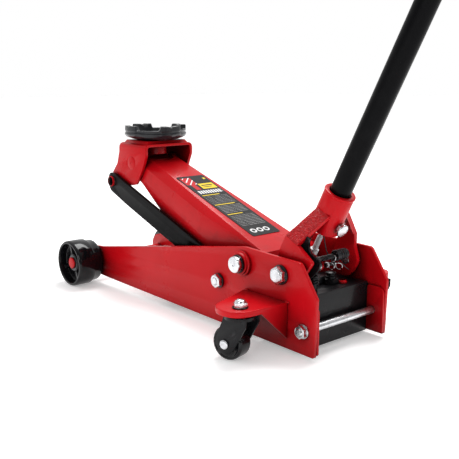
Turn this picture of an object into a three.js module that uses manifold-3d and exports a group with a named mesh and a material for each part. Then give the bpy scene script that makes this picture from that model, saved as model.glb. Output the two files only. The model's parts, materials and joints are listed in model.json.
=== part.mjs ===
// A three tonne hydraulic trolley jack, in millimetres with +Z up.
// The front wheels' axle is at x = 0 while the parts are built, +X runs back to the handle, and -Y is
// the left side for someone who stands at the handle. The whole group is moved at the end, so that its
// origin is the bottom centre of its box.

import * as THREE from "three";
import { mergeVertices } from "three/addons/utils/BufferGeometryUtils.js";
import Module from "manifold-3d";

// ---------------------------------------------------------------- driving dimensions

const GAP = 0.3; // between pieces that touch or turn in each other
const SIDES = { left: -1, right: 1 };
const ARC_STEP = THREE.MathUtils.degToRad(22.5); // between the points of a rounded corner
const HOLE_SIDES = 16;

// Places in the side view, as [x, z]
const AXLE = [0, 45];
const MAIN_PIVOT = [446, 121];
const LINK_PIVOT = [389, 81];
const SOCKET_PIVOT = [530.4, 119];
const TIE_ROD = [578, 43];

// The parallelogram of lift arm, side plates, link bars and saddle bracket
const ARM_LENGTH = 368.9;
const ARM_ANGLE = THREE.MathUtils.degToRad(19.94);
const BRACKET_PIVOT = [
  MAIN_PIVOT[0] - ARM_LENGTH * Math.cos(ARM_ANGLE),
  MAIN_PIVOT[1] + ARM_LENGTH * Math.sin(ARM_ANGLE),
];
const LINK_PIN = [
  BRACKET_PIVOT[0] + LINK_PIVOT[0] - MAIN_PIVOT[0],
  BRACKET_PIVOT[1] + LINK_PIVOT[1] - MAIN_PIVOT[1],
];

// Chassis, as distances from the centre plane
const PLATE_INNER = 78;
const PLATE_OUTER = 84;
const LINK_INNER = 57.5;
const LINK_OUTER = 63.5;
const BRACKET_INNER = 49.4;
const BRACKET_OUTER = 55.4;

// Pins and shafts, as radii
const AXLE_R = 9;
const AXLE_WAIST_R = 8.5; // between the side plates
const MAIN_SHAFT_R = 10;
const ARM_TUBE_R = 13; // of the tube that turns on the main shaft
const LINK_PIN_R = 6;
const SOCKET_BOLT_R = 8;
const TIE_ROD_R = 6;
const BRACKET_PIN_R = 8;

// Bolts through the side plates: distances are from the centre plane
const LINK_BOLT = {
  shank: LINK_PIN_R, from: LINK_INNER + 0.1, shoulder: 10, shoulderFrom: LINK_OUTER + GAP,
  washer: 12, flats: 20, height: 7.5,
};
const SOCKET_BOLT = {
  shank: SOCKET_BOLT_R, from: 61.5, shoulder: 14, shoulderFrom: 69.8,
  washer: 15, flats: 24, height: 8.5,
};

// Front wheels
const WHEEL_R = 45;
const WHEEL_INNER = 87.3;
const WHEEL_OUTER = 143.6;
const HUB_FACE = 133;

// Rear casters
const KINGPIN = [519, 155];
const KINGPIN_R = 6;
const SHELF_TOP = 80;
const SHELF_SKIN = 4;
const LIP_BOTTOM = 71;
const SKIRT_REACH = 135; // from the centre plane to where the skirt's slope starts
const CASTER_R = 26;
const CASTER_TRAIL = 15;
const CASTER_SWIVEL = THREE.MathUtils.degToRad(12);
const CHEEK_INNER = 14.8; // of the fork, from the middle of the wheel
const CHEEK_OUTER = 18;

// Power unit
const TANK = { front: 482, rear: 567, half: PLATE_INNER - GAP, bottom: 6, top: 88 };
const RAM_Z = 62;
const LINER_R = 23;
const BORE_R = 20;
const RAM_R = 12;
const PISTON = [519.7, 528];
const LEVER_LENGTH = 66;
const LEVER_LEAN = THREE.MathUtils.degToRad(12); // of the lever, forwards from straight down
const ROLLER_R = 9;
const PUMP = [548.4, -32]; // the plunger's [x, y]
const PLUNGER_R = 6;
const RELEASE = [514, 0]; // the release valve's [x, y]

// Lift arm, as [distance forward of the main pivot, height above the line between its pivots]
const ARM_TOP = 17;
const ARM_SKIN = 5;
const ARM_FOLD = 12; // below the top, where the sloping shoulder meets the upright side

// Saddle bracket and saddle
const SADDLE_X = 103;
const BRACKET_TOP = 283.4;
const BRACKET_SKIN = 5;
const PLATEAU_TOP = 288.7;
const STEM_R = 12;
const SADDLE_R = 60;
const SADDLE_TOP = 316.5;
const RIM_TOP = 308.5;
const LUG_ARC = THREE.MathUtils.degToRad(46);
const LUG_TURN = THREE.MathUtils.degToRad(-6);

// Handle and its socket, in the frame of the socket: x across, z along the handle from the pivot
const HANDLE_LEAN = THREE.MathUtils.degToRad(27.1);
const HANDLE_X = -20;
const HANDLE_R = 16.3;
const HANDLE_WALL = 2;
const SOCKET_R = 24;
const SOCKET_BOTTOM = 58;
const SOCKET_MOUTH = 122.6;
const SHOULDER = [48, 93]; // height of the shoulders' ends, at the legs and at the tube
const LOCK_BOLT_Z = 75;
const LOCK_BOLT_R = 4;
const FORK_INNER = 62.5;
const FORK_OUTER = 69.5;
const HANDLE_BOTTOM = 62;
const HANDLE_JOINT = 545;
const HANDLE_TOP = 1010;
const PUMP_ROLLER = [13.3, 13.5];
const ROLLER_AXLE_R = 3.5;
const SPRING_PIN = [17, 31.7];

// ---------------------------------------------------------------- finishes

const finish = (color, roughness, metalness) =>
  new THREE.MeshStandardMaterial({ color, roughness, metalness });
const RED = finish(0xc4161c, 0.35, 0);
const BLACK = finish(0x17181a, 0.35, 0);
const CAST_BLACK = finish(0x1d1e20, 0.5, 0.2);
const ZINC = finish(0xc9ccd0, 0.3, 1);
const STEEL = finish(0x8d9196, 0.3, 1);
const WHEEL_BLACK = finish(0x101112, 0.3, 0);
const GRIP_BLACK = finish(0x151515, 0.8, 0);
const LABEL = finish(0x1a1a1a, 0.4, 0);

// ---------------------------------------------------------------- solids

const wasm = await Module();
wasm.setup();

/** A closed geometry as a solid that can be joined and cut. */
function solid(geometry) {
  const source = geometry.index ? geometry.toNonIndexed() : geometry;
  const bare = new THREE.BufferGeometry();
  bare.setAttribute("position", source.getAttribute("position"));
  const merged = mergeVertices(bare, 1e-4);
  const mesh = new wasm.Mesh({
    numProp: 3,
    vertProperties: new Float32Array(merged.attributes.position.array),
    triVerts: new Uint32Array(merged.index.array),
  });
  return new wasm.Manifold(mesh);
}

/** A joined or cut solid as a geometry. */
function geometryOf(manifold) {
  const mesh = manifold.getMesh();
  const geometry = new THREE.BufferGeometry();
  geometry.setAttribute("position", new THREE.BufferAttribute(mesh.vertProperties, 3));
  geometry.setIndex(new THREE.BufferAttribute(mesh.triVerts, 1));
  return geometry;
}

const join = (...geometries) =>
  geometryOf(geometries.map(solid).reduce((sum, next) => sum.add(next)));
const cut = (body, ...tools) =>
  geometryOf(tools.map(solid).reduce((left, tool) => left.subtract(tool), solid(body)));
const overlap = (first, second) => geometryOf(solid(first).intersect(solid(second)));

/** The same geometry with its faces turned to point outwards. */
function facingOut(geometry) {
  const flat = geometry.index ? geometry.toNonIndexed() : geometry;
  const at = flat.getAttribute("position");
  const [a, b, c] = [0, 1, 2].map(() => new THREE.Vector3());
  let volume = 0;
  for (let i = 0; i < at.count; i += 3) {
    [a, b, c].forEach((corner, k) => corner.fromBufferAttribute(at, i + k));
    volume += a.dot(b.cross(c));
  }
  if (volume >= 0) return flat;
  for (let i = 0; i < at.count; i += 3) {
    a.fromBufferAttribute(at, i);
    b.fromBufferAttribute(at, i + 1);
    at.setXYZ(i, b.x, b.y, b.z);
    at.setXYZ(i + 1, a.x, a.y, a.z);
  }
  return flat;
}

/** The points of one corner [u, v, radius] of an outline: one point if sharp, an arc if rounded. */
function cornerPoints(before, [u, v, radius = 0], after) {
  const corner = new THREE.Vector2(u, v);
  if (radius === 0) return [corner];
  const toBefore = new THREE.Vector2(before[0], before[1]).sub(corner);
  const toAfter = new THREE.Vector2(after[0], after[1]).sub(corner);
  const room = 0.49 * Math.min(toBefore.length(), toAfter.length());
  toBefore.normalize();
  toAfter.normalize();
  const half = Math.acos(toBefore.dot(toAfter)) / 2;
  const reach = Math.min(radius / Math.tan(half), room);
  const sweep = Math.sign(toAfter.cross(toBefore)) * (Math.PI - 2 * half);
  const centre = toBefore.clone().add(toAfter).setLength(reach / Math.cos(half)).add(corner);
  const start = toBefore.multiplyScalar(reach).add(corner);
  const steps = Math.max(2, Math.round(Math.abs(sweep) / ARC_STEP));
  return Array.from({ length: steps + 1 }, (_, k) =>
    start.clone().rotateAround(centre, (sweep * k) / steps),
  );
}

/** Points on an arc about the origin. */
function arc(radius, from, to, steps = 4) {
  return Array.from({ length: steps + 1 }, (_, k) => {
    const angle = from + ((to - from) * k) / steps;
    return new THREE.Vector2(radius * Math.cos(angle), radius * Math.sin(angle));
  });
}

/** The rim of a round hole, whose flats lie on its radius. */
function circle([u, v, radius]) {
  const corner = radius / Math.cos(Math.PI / HOLE_SIDES);
  return Array.from({ length: HOLE_SIDES }, (_, k) => {
    const angle = (2 * Math.PI * k) / HOLE_SIDES;
    return new THREE.Vector2(u + corner * Math.cos(angle), v + corner * Math.sin(angle));
  });
}

/** A closed outline through corners [u, v, radius], with round holes [u, v, radius] in it. */
function outline(corners, holes = []) {
  const count = corners.length;
  const points = corners.flatMap((corner, i) =>
    cornerPoints(corners.at(i - 1), corner, corners[(i + 1) % count]),
  );
  const shape = new THREE.Shape(points);
  shape.holes = holes.map((hole) => new THREE.Path(circle(hole)));
  return shape;
}

/** A shape in the plane "xy", "xz" or "yz", given thickness from start to end across that plane. */
function prism(plane, shape, start, end) {
  const depth = end - start;
  const geometry = new THREE.ExtrudeGeometry(shape, { depth, bevelEnabled: false });
  if (plane === "xy") return geometry.translate(0, 0, start);
  if (plane === "xz") return geometry.rotateX(Math.PI / 2).translate(0, end, 0);
  const [x, y, z] = [0, 1, 2].map((k) => new THREE.Vector3().setComponent(k, 1));
  const turn = new THREE.Matrix4().makeBasis(y, z, x);
  return geometry.applyMatrix4(turn).translate(start, 0, 0);
}

/** A plate in the side view between two distances from the centre plane, on one side of it. */
function sidePlate(side, shape, inner, outer) {
  const [start, end] = side < 0 ? [-outer, -inner] : [inner, outer];
  return prism("xz", shape, start, end);
}

/** A solid of revolution about an axis, from a profile of [radius, place along the axis]. */
function turned(axis, profile, segments = 20) {
  const points = profile.map(([radius, along]) => new THREE.Vector2(radius, along));
  const geometry = new THREE.LatheGeometry(points, segments);
  if (axis === "x") geometry.rotateZ(-Math.PI / 2);
  if (axis === "z") geometry.rotateX(Math.PI / 2);
  return facingOut(geometry);
}

function rod(axis, radius, from, to, segments) {
  return turned(axis, [[0, from], [radius, from], [radius, to], [0, to]], segments);
}

function ring(axis, outer, inner, from, to, segments) {
  const profile = [[inner, from], [outer, from], [outer, to], [inner, to], [inner, from]];
  return turned(axis, profile, segments);
}

/** A hexagonal bar, given the distance across its flats. */
function hexagon(axis, acrossFlats, from, to) {
  return rod(axis, acrossFlats / Math.sqrt(3), from, to, 6);
}

function block(x, y, z) {
  const geometry = new THREE.BoxGeometry(x[1] - x[0], y[1] - y[0], z[1] - z[0]);
  return geometry.translate((x[0] + x[1]) / 2, (y[0] + y[1]) / 2, (z[0] + z[1]) / 2);
}

/** A closed skin through loops that all have the same number of points, capped at both ends. */
function loft(loops) {
  const count = loops[0].length;
  const positions = [];
  const face = (...corners) => corners.forEach((p) => positions.push(p.x, p.y, p.z));
  for (let k = 0; k + 1 < loops.length; k += 1) {
    for (let i = 0; i < count; i += 1) {
      const next = (i + 1) % count;
      face(loops[k][i], loops[k][next], loops[k + 1][next]);
      face(loops[k][i], loops[k + 1][next], loops[k + 1][i]);
    }
  }
  for (const [loop, turnedRound] of [[loops[0], true], [loops.at(-1), false]]) {
    const flat = loop.map((p) => new THREE.Vector2(p.y, p.z));
    for (const [i, j, k] of THREE.ShapeUtils.triangulateShape(flat, [])) {
      if (turnedRound) face(loop[i], loop[k], loop[j]);
      else face(loop[i], loop[j], loop[k]);
    }
  }
  const geometry = new THREE.BufferGeometry();
  geometry.setAttribute("position", new THREE.Float32BufferAttribute(positions, 3));
  return facingOut(geometry);
}

/** A wire bent into a helix about an axis, from one place along it to another. */
function coil(axis, radius, wire, from, to, turns) {
  const steps = 10 * turns;
  const points = Array.from({ length: steps + 1 }, (_, i) => {
    const angle = (2 * Math.PI * i) / 10;
    const along = from + ((to - from) * i) / steps;
    const [p, q] = [radius * Math.cos(angle), radius * Math.sin(angle)];
    return axis === "z" ? new THREE.Vector3(p, q, along) : new THREE.Vector3(p, along, q);
  });
  const section = new THREE.Shape().absarc(0, 0, wire, 0, 2 * Math.PI);
  return new THREE.ExtrudeGeometry(section, {
    steps,
    curveSegments: 3,
    bevelEnabled: false,
    extrudePath: new THREE.CatmullRomCurve3(points),
  });
}

// ---------------------------------------------------------------- the assembly's groups

const jack = new THREE.Group();

function group(parent, x, y, z) {
  const made = new THREE.Group();
  made.position.set(x, y, z);
  parent.add(made);
  return made;
}

function add(parent, name, material, geometry, x = 0, y = 0, z = 0) {
  const mesh = new THREE.Mesh(geometry, material);
  mesh.name = name;
  mesh.position.set(x, y, z);
  parent.add(mesh);
  return mesh;
}

/** A range of distances from the centre plane, as places along Y on one side of it. */
const across = (side, near, far) => (side < 0 ? [-far, -near] : [near, far]);

/** A bolt through a side plate: a shank that carries the moving piece, a shoulder that spaces it from
 *  the plate, and outside the plate a washer and a hexagon. */
function plateBolt(side, { shank, from, shoulder, shoulderFrom, washer, flats, height }) {
  const wall = PLATE_OUTER + GAP;
  const washerFace = wall + 2.2;
  const headFace = washerFace + height;
  return join(
    rod("y", shank, ...across(side, from, washerFace)),
    rod("y", shoulder, ...across(side, shoulderFrom, PLATE_INNER - GAP)),
    rod("y", washer, ...across(side, wall, washerFace)),
    hexagon("y", flats, ...across(side, washerFace - 0.5, headFace)),
    rod("y", flats * 0.44, ...across(side, washerFace, headFace + 1.2), 16),
  );
}

// ---------------------------------------------------------------- chassis

function chassisPlate(side) {
  const corners = [
    [-26, 20, 22], [33, 17], [599, 6, 3], [602, 95, 6], [569.4, 143.5, 8], [506, 145],
    [450, 147.5, 50], [270, 117.6, 60], [29, 76, 30], [-26, 72, 22],
  ];
  const holes = [
    [...AXLE, AXLE_R + GAP],
    [...MAIN_PIVOT, MAIN_SHAFT_R + GAP],
    [...LINK_PIVOT, LINK_PIN_R + GAP],
    [...SOCKET_PIVOT, SOCKET_BOLT_R + GAP],
    [...TIE_ROD, TIE_ROD_R + GAP],
  ];
  return sidePlate(side, outline(corners, holes), PLATE_INNER, PLATE_OUTER);
}

/** The pressed shelf that carries a caster: a round nosed tray turned upside down, its skirt sloping
 *  down to the side plate. */
function casterBracket(side) {
  const wall = PLATE_OUTER + GAP;
  const nose = KINGPIN[1] + 28;
  const plan = (inset, root) =>
    outline([
      [451 + inset, side * root],
      [486 + inset, side * (nose - inset), 28],
      [541 - inset, side * (nose - inset), 28],
      [546 - inset, side * root],
    ]);
  const belowSkirt = outline([
    [side * (wall - 5), 18],
    [side * SKIRT_REACH, LIP_BOTTOM],
    [side * (nose + 5), LIP_BOTTOM],
    [side * (nose + 5), 0],
    [side * (wall - 5), 0],
  ]);
  return cut(
    prism("xy", plan(0, wall), 10, SHELF_TOP),
    prism("xy", plan(SHELF_SKIN, wall - 5), 5, SHELF_TOP - SHELF_SKIN),
    prism("yz", belowSkirt, 440, 570),
    rod("z", KINGPIN_R + GAP, 60, 90).translate(KINGPIN[0], side * KINGPIN[1], 0),
  );
}

function kingpin() {
  const nutTop = SHELF_TOP + 9;
  return join(
    rod("z", KINGPIN_R, 60.5, nutTop, 16),
    rod("z", 9, 60.5, 64.7, 16),
    rod("z", 13, 70, SHELF_TOP - SHELF_SKIN - GAP, 16),
    hexagon("z", 19, SHELF_TOP + GAP, nutTop),
    turned("z", [[0, nutTop - 1], [8, nutTop - 1], [8, nutTop + 2], [5, nutTop + 4], [0, nutTop + 4]], 16),
  );
}

/** The rod that ties the plates together at the rear, with a washer and a nut at each end. */
function tieRod() {
  const wall = PLATE_OUTER + GAP;
  const nuts = Object.values(SIDES).flatMap((side) => [
    rod("y", 11, ...across(side, wall, wall + 2)),
    hexagon("y", 18, ...across(side, wall + 1.5, wall + 9)),
  ]);
  return join(rod("y", TIE_ROD_R, -96.5, 96.5, 16), ...nuts);
}

const chassis = group(jack, 0, 0, 0);

const sideView = ([x, z]) => [x, 0, z];

for (const [name, side] of Object.entries(SIDES)) {
  add(chassis, `side_plate_${name}`, RED, chassisPlate(side));
  add(chassis, `caster_bracket_${name}`, RED, casterBracket(side));
  add(chassis, `caster_kingpin_${name}`, ZINC, kingpin(), KINGPIN[0], side * KINGPIN[1], 0);
  const collar = [
    [MAIN_SHAFT_R + GAP, side * 84.3], [20, side * 84.3], [19.5, side * 91], [17.5, side * 93],
    [MAIN_SHAFT_R + GAP, side * 93], [MAIN_SHAFT_R + GAP, side * 84.3],
  ];
  add(chassis, `pivot_collar_${name}`, RED, turned("y", collar), ...sideView(MAIN_PIVOT));
  const clip = ring("y", 14.5, MAIN_SHAFT_R + GAP, ...across(side, 93.3, 97));
  add(chassis, `retaining_ring_${name}`, BLACK, clip, ...sideView(MAIN_PIVOT));
  const linkBolt = plateBolt(side, LINK_BOLT);
  add(chassis, `link_bolt_${name}`, ZINC, linkBolt, ...sideView(LINK_PIVOT));
  const socketBolt = plateBolt(side, SOCKET_BOLT);
  add(chassis, `socket_bolt_${name}`, ZINC, socketBolt, ...sideView(SOCKET_PIVOT));
  const doubler = outline(
    [[568, 9], [600, 9, 2], [600, 83, 10], [568, 83, 4]],
    [[...TIE_ROD, TIE_ROD_R + GAP]],
  );
  const doublerPlate = sidePlate(side, doubler, 74, PLATE_INNER - GAP);
  add(chassis, `tie_rod_doubler_${name}`, RED, doublerPlate);
}

/** A shaft across the jack, the same on both sides, from its half profile [radius, distance]. */
function crossShaft(half, segments) {
  const mirrored = half.map(([radius, along]) => [radius, -along]).reverse();
  return turned("y", [...mirrored, ...half], segments);
}

const frontAxle = crossShaft([
  [AXLE_WAIST_R, PLATE_INNER], [AXLE_R, PLATE_INNER], [AXLE_R, HUB_FACE + GAP],
  [11.5, HUB_FACE + GAP], [11.5, 136.5], [9.5, 138.5], [0, 138.5],
]);
const mainShaft = crossShaft([
  [MAIN_SHAFT_R, 97.3], [13, 97.3], [13, 103], [12, 104], [0, 104],
]);
add(chassis, "front_axle", RED, frontAxle, ...sideView(AXLE));
add(chassis, "main_shaft", ZINC, mainShaft, ...sideView(MAIN_PIVOT));
add(chassis, "tie_rod", ZINC, tieRod(), ...sideView(TIE_ROD));
const braceSection = outline([
  [205, 18], [209, 18], [209, 26], [261, 26], [261, 18], [265, 18], [265, 30, 3], [205, 30, 3],
]);
const braceHalf = PLATE_INNER - GAP;
add(chassis, "front_brace", RED, prism("xz", braceSection, -braceHalf, braceHalf));

// ---------------------------------------------------------------- power unit

function tank() {
  const section = outline([
    [-TANK.half, TANK.bottom, 4], [TANK.half, TANK.bottom, 4],
    [TANK.half, TANK.top, 6], [-TANK.half, TANK.top, 6],
  ]);
  return cut(
    prism("yz", section, TANK.front, TANK.rear),
    rod("x", LINER_R + GAP, TANK.front - 5, 562, 28).translate(0, 0, RAM_Z),
    rod("z", PLUNGER_R + GAP, 60, 95, 16).translate(PUMP[0], PUMP[1], 0),
  );
}

const top = TANK.top + GAP;
add(chassis, "reservoir_tank", BLACK, tank());
const liner = ring("x", LINER_R, BORE_R, TANK.front + GAP, 561.7, 28);
add(chassis, "cylinder_liner", STEEL, liner, 0, 0, RAM_Z);
const gland = ring("x", BORE_R - GAP, RAM_R + GAP, TANK.front + GAP, 487);
add(chassis, "ram_gland", STEEL, gland, 0, 0, RAM_Z);
const pumpProfile = [
  [PLUNGER_R + GAP, top], [11, top], [11, 95], [9.5, 97], [PLUNGER_R + GAP, 97], [PLUNGER_R + GAP, top],
];
add(chassis, "pump_cylinder", CAST_BLACK, turned("z", pumpProfile, 24), PUMP[0], PUMP[1], 0);
add(chassis, "pump_spring", STEEL, coil("z", 8.2, 0.9, 98.2, 111, 4), PUMP[0], PUMP[1], 0);
const plug = [[0, top], [7.5, top], [7.5, 91], [5, 93.5], [0, 93.5]];
add(chassis, "filler_plug", RED, turned("z", plug, 16), 548, 36, 0);
const valveOutline = outline(
  [[498, -15, 4], [532, -15, 4], [532, 15, 4], [498, 15, 4]],
  [[...RELEASE, 5 + GAP]],
);
const overloadValve = hexagon("z", 11, top + 2, 102.5).translate(525, 0, 0);
const valveBlock = join(prism("xy", valveOutline, top, 100), overloadValve);
add(chassis, "valve_block", CAST_BLACK, valveBlock);

// ---------------------------------------------------------------- front wheels

for (const [name, side] of Object.entries(SIDES)) {
  const bore = AXLE_R + 0.4;
  const profile = [
    [bore, 84.6], [16, 84.6], [17, WHEEL_INNER], [42, WHEEL_INNER], [WHEEL_R, 90.5],
    [WHEEL_R, 140.5], [42.5, WHEEL_OUTER], [38.5, WHEEL_OUTER], [36.5, 127], [18, 127],
    [16.5, HUB_FACE], [bore, HUB_FACE], [bore, 84.6],
  ].map(([radius, along]) => [radius, side * along]);
  const wheel = turned("y", profile, 24);
  add(jack, `front_wheel_${name}`, WHEEL_BLACK, wheel, AXLE[0], 0, AXLE[1]);
}

// ---------------------------------------------------------------- casters

function casterFork() {
  const cheek = outline(
    [[22, 69.7], [-16, 69.7], [-29, 38, 14], [-31, 16, 14], [-6, 9, 12], [9, 34, 14], [22, 58, 6]],
    [[-CASTER_TRAIL, CASTER_R, 4 + GAP]],
  );
  return cut(
    join(
      rod("z", 24, 65, 69.7, 24),
      sidePlate(-1, cheek, CHEEK_INNER, CHEEK_OUTER),
      sidePlate(1, cheek, CHEEK_INNER, CHEEK_OUTER),
    ),
    rod("z", KINGPIN_R + GAP, 60, 75, 16),
  );
}

const casterAxle = [
  [0, -21.3], [6, -21.3], [7, -20.3], [7, -18.3], [4, -18.3],
  [4, 18.3], [7, 18.3], [7, 20.3], [6, 21.3], [0, 21.3],
];
const casterTread = [
  [4.4, -14], [23, -14], [CASTER_R, -11], [CASTER_R, 11], [23, 14], [4.4, 14],
  [4.4, -14],
];
for (const [name, side] of Object.entries(SIDES)) {
  const caster = group(jack, KINGPIN[0], side * KINGPIN[1], 0);
  caster.rotation.z = -side * CASTER_SWIVEL;
  add(caster, `caster_fork_${name}`, BLACK, casterFork());
  const place = [-CASTER_TRAIL, 0, CASTER_R];
  add(caster, `caster_axle_${name}`, ZINC, turned("y", casterAxle, 12), ...place);
  add(caster, `caster_wheel_${name}`, WHEEL_BLACK, turned("y", casterTread, 28), ...place);
}

// ---------------------------------------------------------------- lift arm

/** The arm's cross section as one loop: along the outside of the channel and back along its inside. */
function armSection([forward, topHalf, sideHalf, top]) {
  const fold = top - ARM_FOLD;
  const bottom = -70;
  const right = [
    [sideHalf, bottom], [sideHalf, fold], [topHalf, top],
    [topHalf - 2, top - ARM_SKIN], [sideHalf - ARM_SKIN, fold - 2], [sideHalf - ARM_SKIN, bottom],
  ];
  const [outer, inner] = [right.slice(0, 3), right.slice(3)];
  const mirrored = (points) => points.map(([y, z]) => [-y, z]).reverse();
  const loop = [...outer, ...mirrored(outer), ...mirrored(inner), ...inner];
  return loop.map(([y, z]) => new THREE.Vector3(-forward, y, z));
}

function armChannel() {
  const stations = [
    [-36, 51, 53, -7], [-8, 51, 53, ARM_TOP], [150, 43.3, 53, ARM_TOP],
    [325, 32.7, 47.5, ARM_TOP], [400, 28.2, 47.5, ARM_TOP],
  ];
  const profile = outline([
    [34, 40], [34, -34, 34], [-30, -37, 30], [-66, -52, 30], [-248, -52, 40], [-335, -27, 60],
    [-391, -22, 22], [-391, 24, 10], [-360, 40],
  ]);
  const half = 60;
  const sheetFront = -ARM_LENGTH;
  const channel = overlap(loft(stations.map(armSection)), prism("xz", profile, -half, half));
  return cut(
    join(channel, rod("y", 12.5, -44, 44).translate(sheetFront, 0, 0)),
    rod("y", ARM_TUBE_R + GAP, -half, half),
    rod("y", BRACKET_PIN_R + GAP, -half, half).translate(sheetFront, 0, 0),
    rod("z", 34, 8, 30, 28).translate(sheetFront, 0, 0),
    block([sheetFront - 40, sheetFront], [-34, 34], [8, 30]),
  );
}

/** The tube that the main shaft turns in, with the two lugs that the ram pushes. */
function armLever(pin) {
  const lug = outline([
    [-15, 4], [15, 4], [pin[0] + 13, pin[1] - 2, 8], [pin[0] + 5, pin[1] - 13, 8],
    [pin[0] - 8, pin[1] - 13, 8], [pin[0] - 14, pin[1] + 2, 8],
  ]);
  return cut(
    join(
      rod("y", ARM_TUBE_R, -77.4, 77.4),
      prism("xz", lug, -28, -20),
      prism("xz", lug, 20, 28),
    ),
    rod("y", MAIN_SHAFT_R + GAP, -80, 80),
    rod("y", LINK_PIN_R + GAP, -40, 40, 16).translate(pin[0], 0, pin[1]),
  );
}

const liftArm = group(jack, MAIN_PIVOT[0], 0, MAIN_PIVOT[1]);
liftArm.rotation.y = ARM_ANGLE;
const leverTurn = ARM_ANGLE - LEVER_LEAN;
const ramPin = [LEVER_LENGTH * Math.sin(leverTurn), -LEVER_LENGTH * Math.cos(leverTurn)];
const ramPinX = MAIN_PIVOT[0] - LEVER_LENGTH * Math.sin(LEVER_LEAN);
add(liftArm, "lift_arm", RED, armChannel());
add(liftArm, "arm_lever", RED, armLever(ramPin));
add(liftArm, "ram_pin", STEEL, rod("y", LINK_PIN_R, -30, 30, 16), ramPin[0], 0, ramPin[1]);
const roller = ring("y", ROLLER_R, LINK_PIN_R + GAP, -19.4, 19.4, 24);
add(liftArm, "ram_roller", STEEL, roller, ramPin[0], 0, ramPin[1]);
const labelTop = ARM_TOP + GAP;
add(liftArm, "arm_label", LABEL, block([-262, -40], [-31.5, 31.5], [labelTop, labelTop + 0.5]));

// ---------------------------------------------------------------- ram

const YOKE_WALL = 8;
const YOKE_SLOT = [ramPinX - ROLLER_R - 0.5, ramPinX + ROLLER_R + 2.3]; // front and rear face
const YOKE_REAR = YOKE_SLOT[1] + YOKE_WALL;

/** The slotted head of the ram: the arm's roller rides up and down in it as the arm swings. */
function ramYoke() {
  const frame = outline([
    [YOKE_SLOT[0] - 4, 38, 4], [YOKE_SLOT[1] + YOKE_WALL, 38, 3],
    [YOKE_SLOT[1] + YOKE_WALL, 88, 3], [YOKE_SLOT[0] - 4, 88, 4],
  ]);
  const slot = outline([
    [YOKE_SLOT[0], 44.5], [YOKE_SLOT[1], 44.5], [YOKE_SLOT[1], 82.5], [YOKE_SLOT[0], 82.5],
  ]);
  frame.holes.push(new THREE.Path(slot.getPoints()));
  return prism("xz", frame, -19, 19);
}

const ramProfile = [
  [0, YOKE_REAR + GAP], [RAM_R, YOKE_REAR + GAP], [RAM_R, PISTON[0]],
  [BORE_R - GAP, PISTON[0]], [BORE_R - GAP, PISTON[1]], [0, PISTON[1]],
];
add(jack, "ram_yoke", CAST_BLACK, ramYoke());
add(jack, "ram_piston", STEEL, turned("x", ramProfile), 0, 0, RAM_Z);

// ---------------------------------------------------------------- link bars

const links = group(jack, LINK_PIVOT[0], 0, LINK_PIVOT[1]);
links.rotation.y = ARM_ANGLE;
const barOutline = outline(
  [
    [17, -20, 16], [17, 14.5, 16], [4 - ARM_LENGTH, 17, 8], [-13.5 - ARM_LENGTH, 13.5, 8],
    [-14.5 - ARM_LENGTH, -9, 11], [2 - ARM_LENGTH, -20, 12], [60 - ARM_LENGTH, -22], [-10, -22, 20],
  ],
  [[0, 0, LINK_PIN_R + GAP], [-ARM_LENGTH, 0, LINK_PIN_R + GAP]],
);
for (const [name, side] of Object.entries(SIDES)) {
  const bar = sidePlate(side, barOutline, LINK_INNER, LINK_OUTER);
  add(links, `link_bar_${name}`, BLACK, bar);
}
const crossPin = [
  [0, -68], [9, -68], [10, -67], [10, -63.8], [LINK_PIN_R, -63.8],
  [LINK_PIN_R, 63.8], [10, 63.8], [10, 67], [9, 68], [0, 68],
];
add(links, "link_cross_pin", RED, turned("y", crossPin, 24), -ARM_LENGTH, 0, 0);

// ---------------------------------------------------------------- saddle bracket and saddle

/** The low square plateau, with sloping edges, that the saddle turns on. */
function plateau() {
  const level = (z, halfX, halfY) =>
    [[-1, -1], [1, -1], [1, 1], [-1, 1]].map(
      ([u, v]) => new THREE.Vector3(SADDLE_X + u * halfX, v * halfY, z),
    );
  const low = level(BRACKET_TOP - 1, 39, 48);
  const high = level(PLATEAU_TOP, 35, 43.5);
  const hull = [];
  const quad = (a, b, c, d) => hull.push(a, b, c, a, c, d);
  quad(low[3], low[2], low[1], low[0]);
  quad(high[0], high[1], high[2], high[3]);
  for (let i = 0; i < 4; i += 1) {
    const next = (i + 1) % 4;
    quad(low[i], low[next], high[next], high[i]);
  }
  return new THREE.BufferGeometry().setFromPoints(hull);
}

function saddleBracket() {
  const channel = (half, top, rounding) =>
    outline([[-half, 150], [half, 150], [half, top, rounding], [-half, top, rounding]]);
  const [x, z] = LINK_PIN;
  const profile = outline([
    [62, 290], [SADDLE_X + 43, 290], [SADDLE_X + 43, 262, 12], [134, 236, 14], [113, 206, 10],
    [98, 203.5, 8], [x + 14, z - 12, 8], [x - 11.5, z - 12, 11], [x - 11.5, z + 14, 12], [50, 242, 10],
    [58, 266, 8], [59, 290],
  ]);
  const walls = cut(
    prism("yz", channel(BRACKET_OUTER, BRACKET_TOP, 9), 20, 150),
    prism("yz", channel(BRACKET_INNER, BRACKET_TOP - BRACKET_SKIN, 4), 15, 155),
  );
  const pivot = rod("y", BRACKET_PIN_R + GAP, -70, 70);
  const pin = rod("y", LINK_PIN_R + 0.8, -70, 70);
  return cut(
    join(
      overlap(walls, prism("xz", profile, -70, 70)),
      plateau(),
      rod("z", 20, 262, BRACKET_TOP - 1).translate(SADDLE_X, 0, 0),
    ),
    pivot.translate(BRACKET_PIVOT[0], 0, BRACKET_PIVOT[1]),
    pin.translate(x, 0, z),
    rod("z", STEM_R + GAP, 260, 300).translate(SADDLE_X, 0, 0),
  );
}

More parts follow.
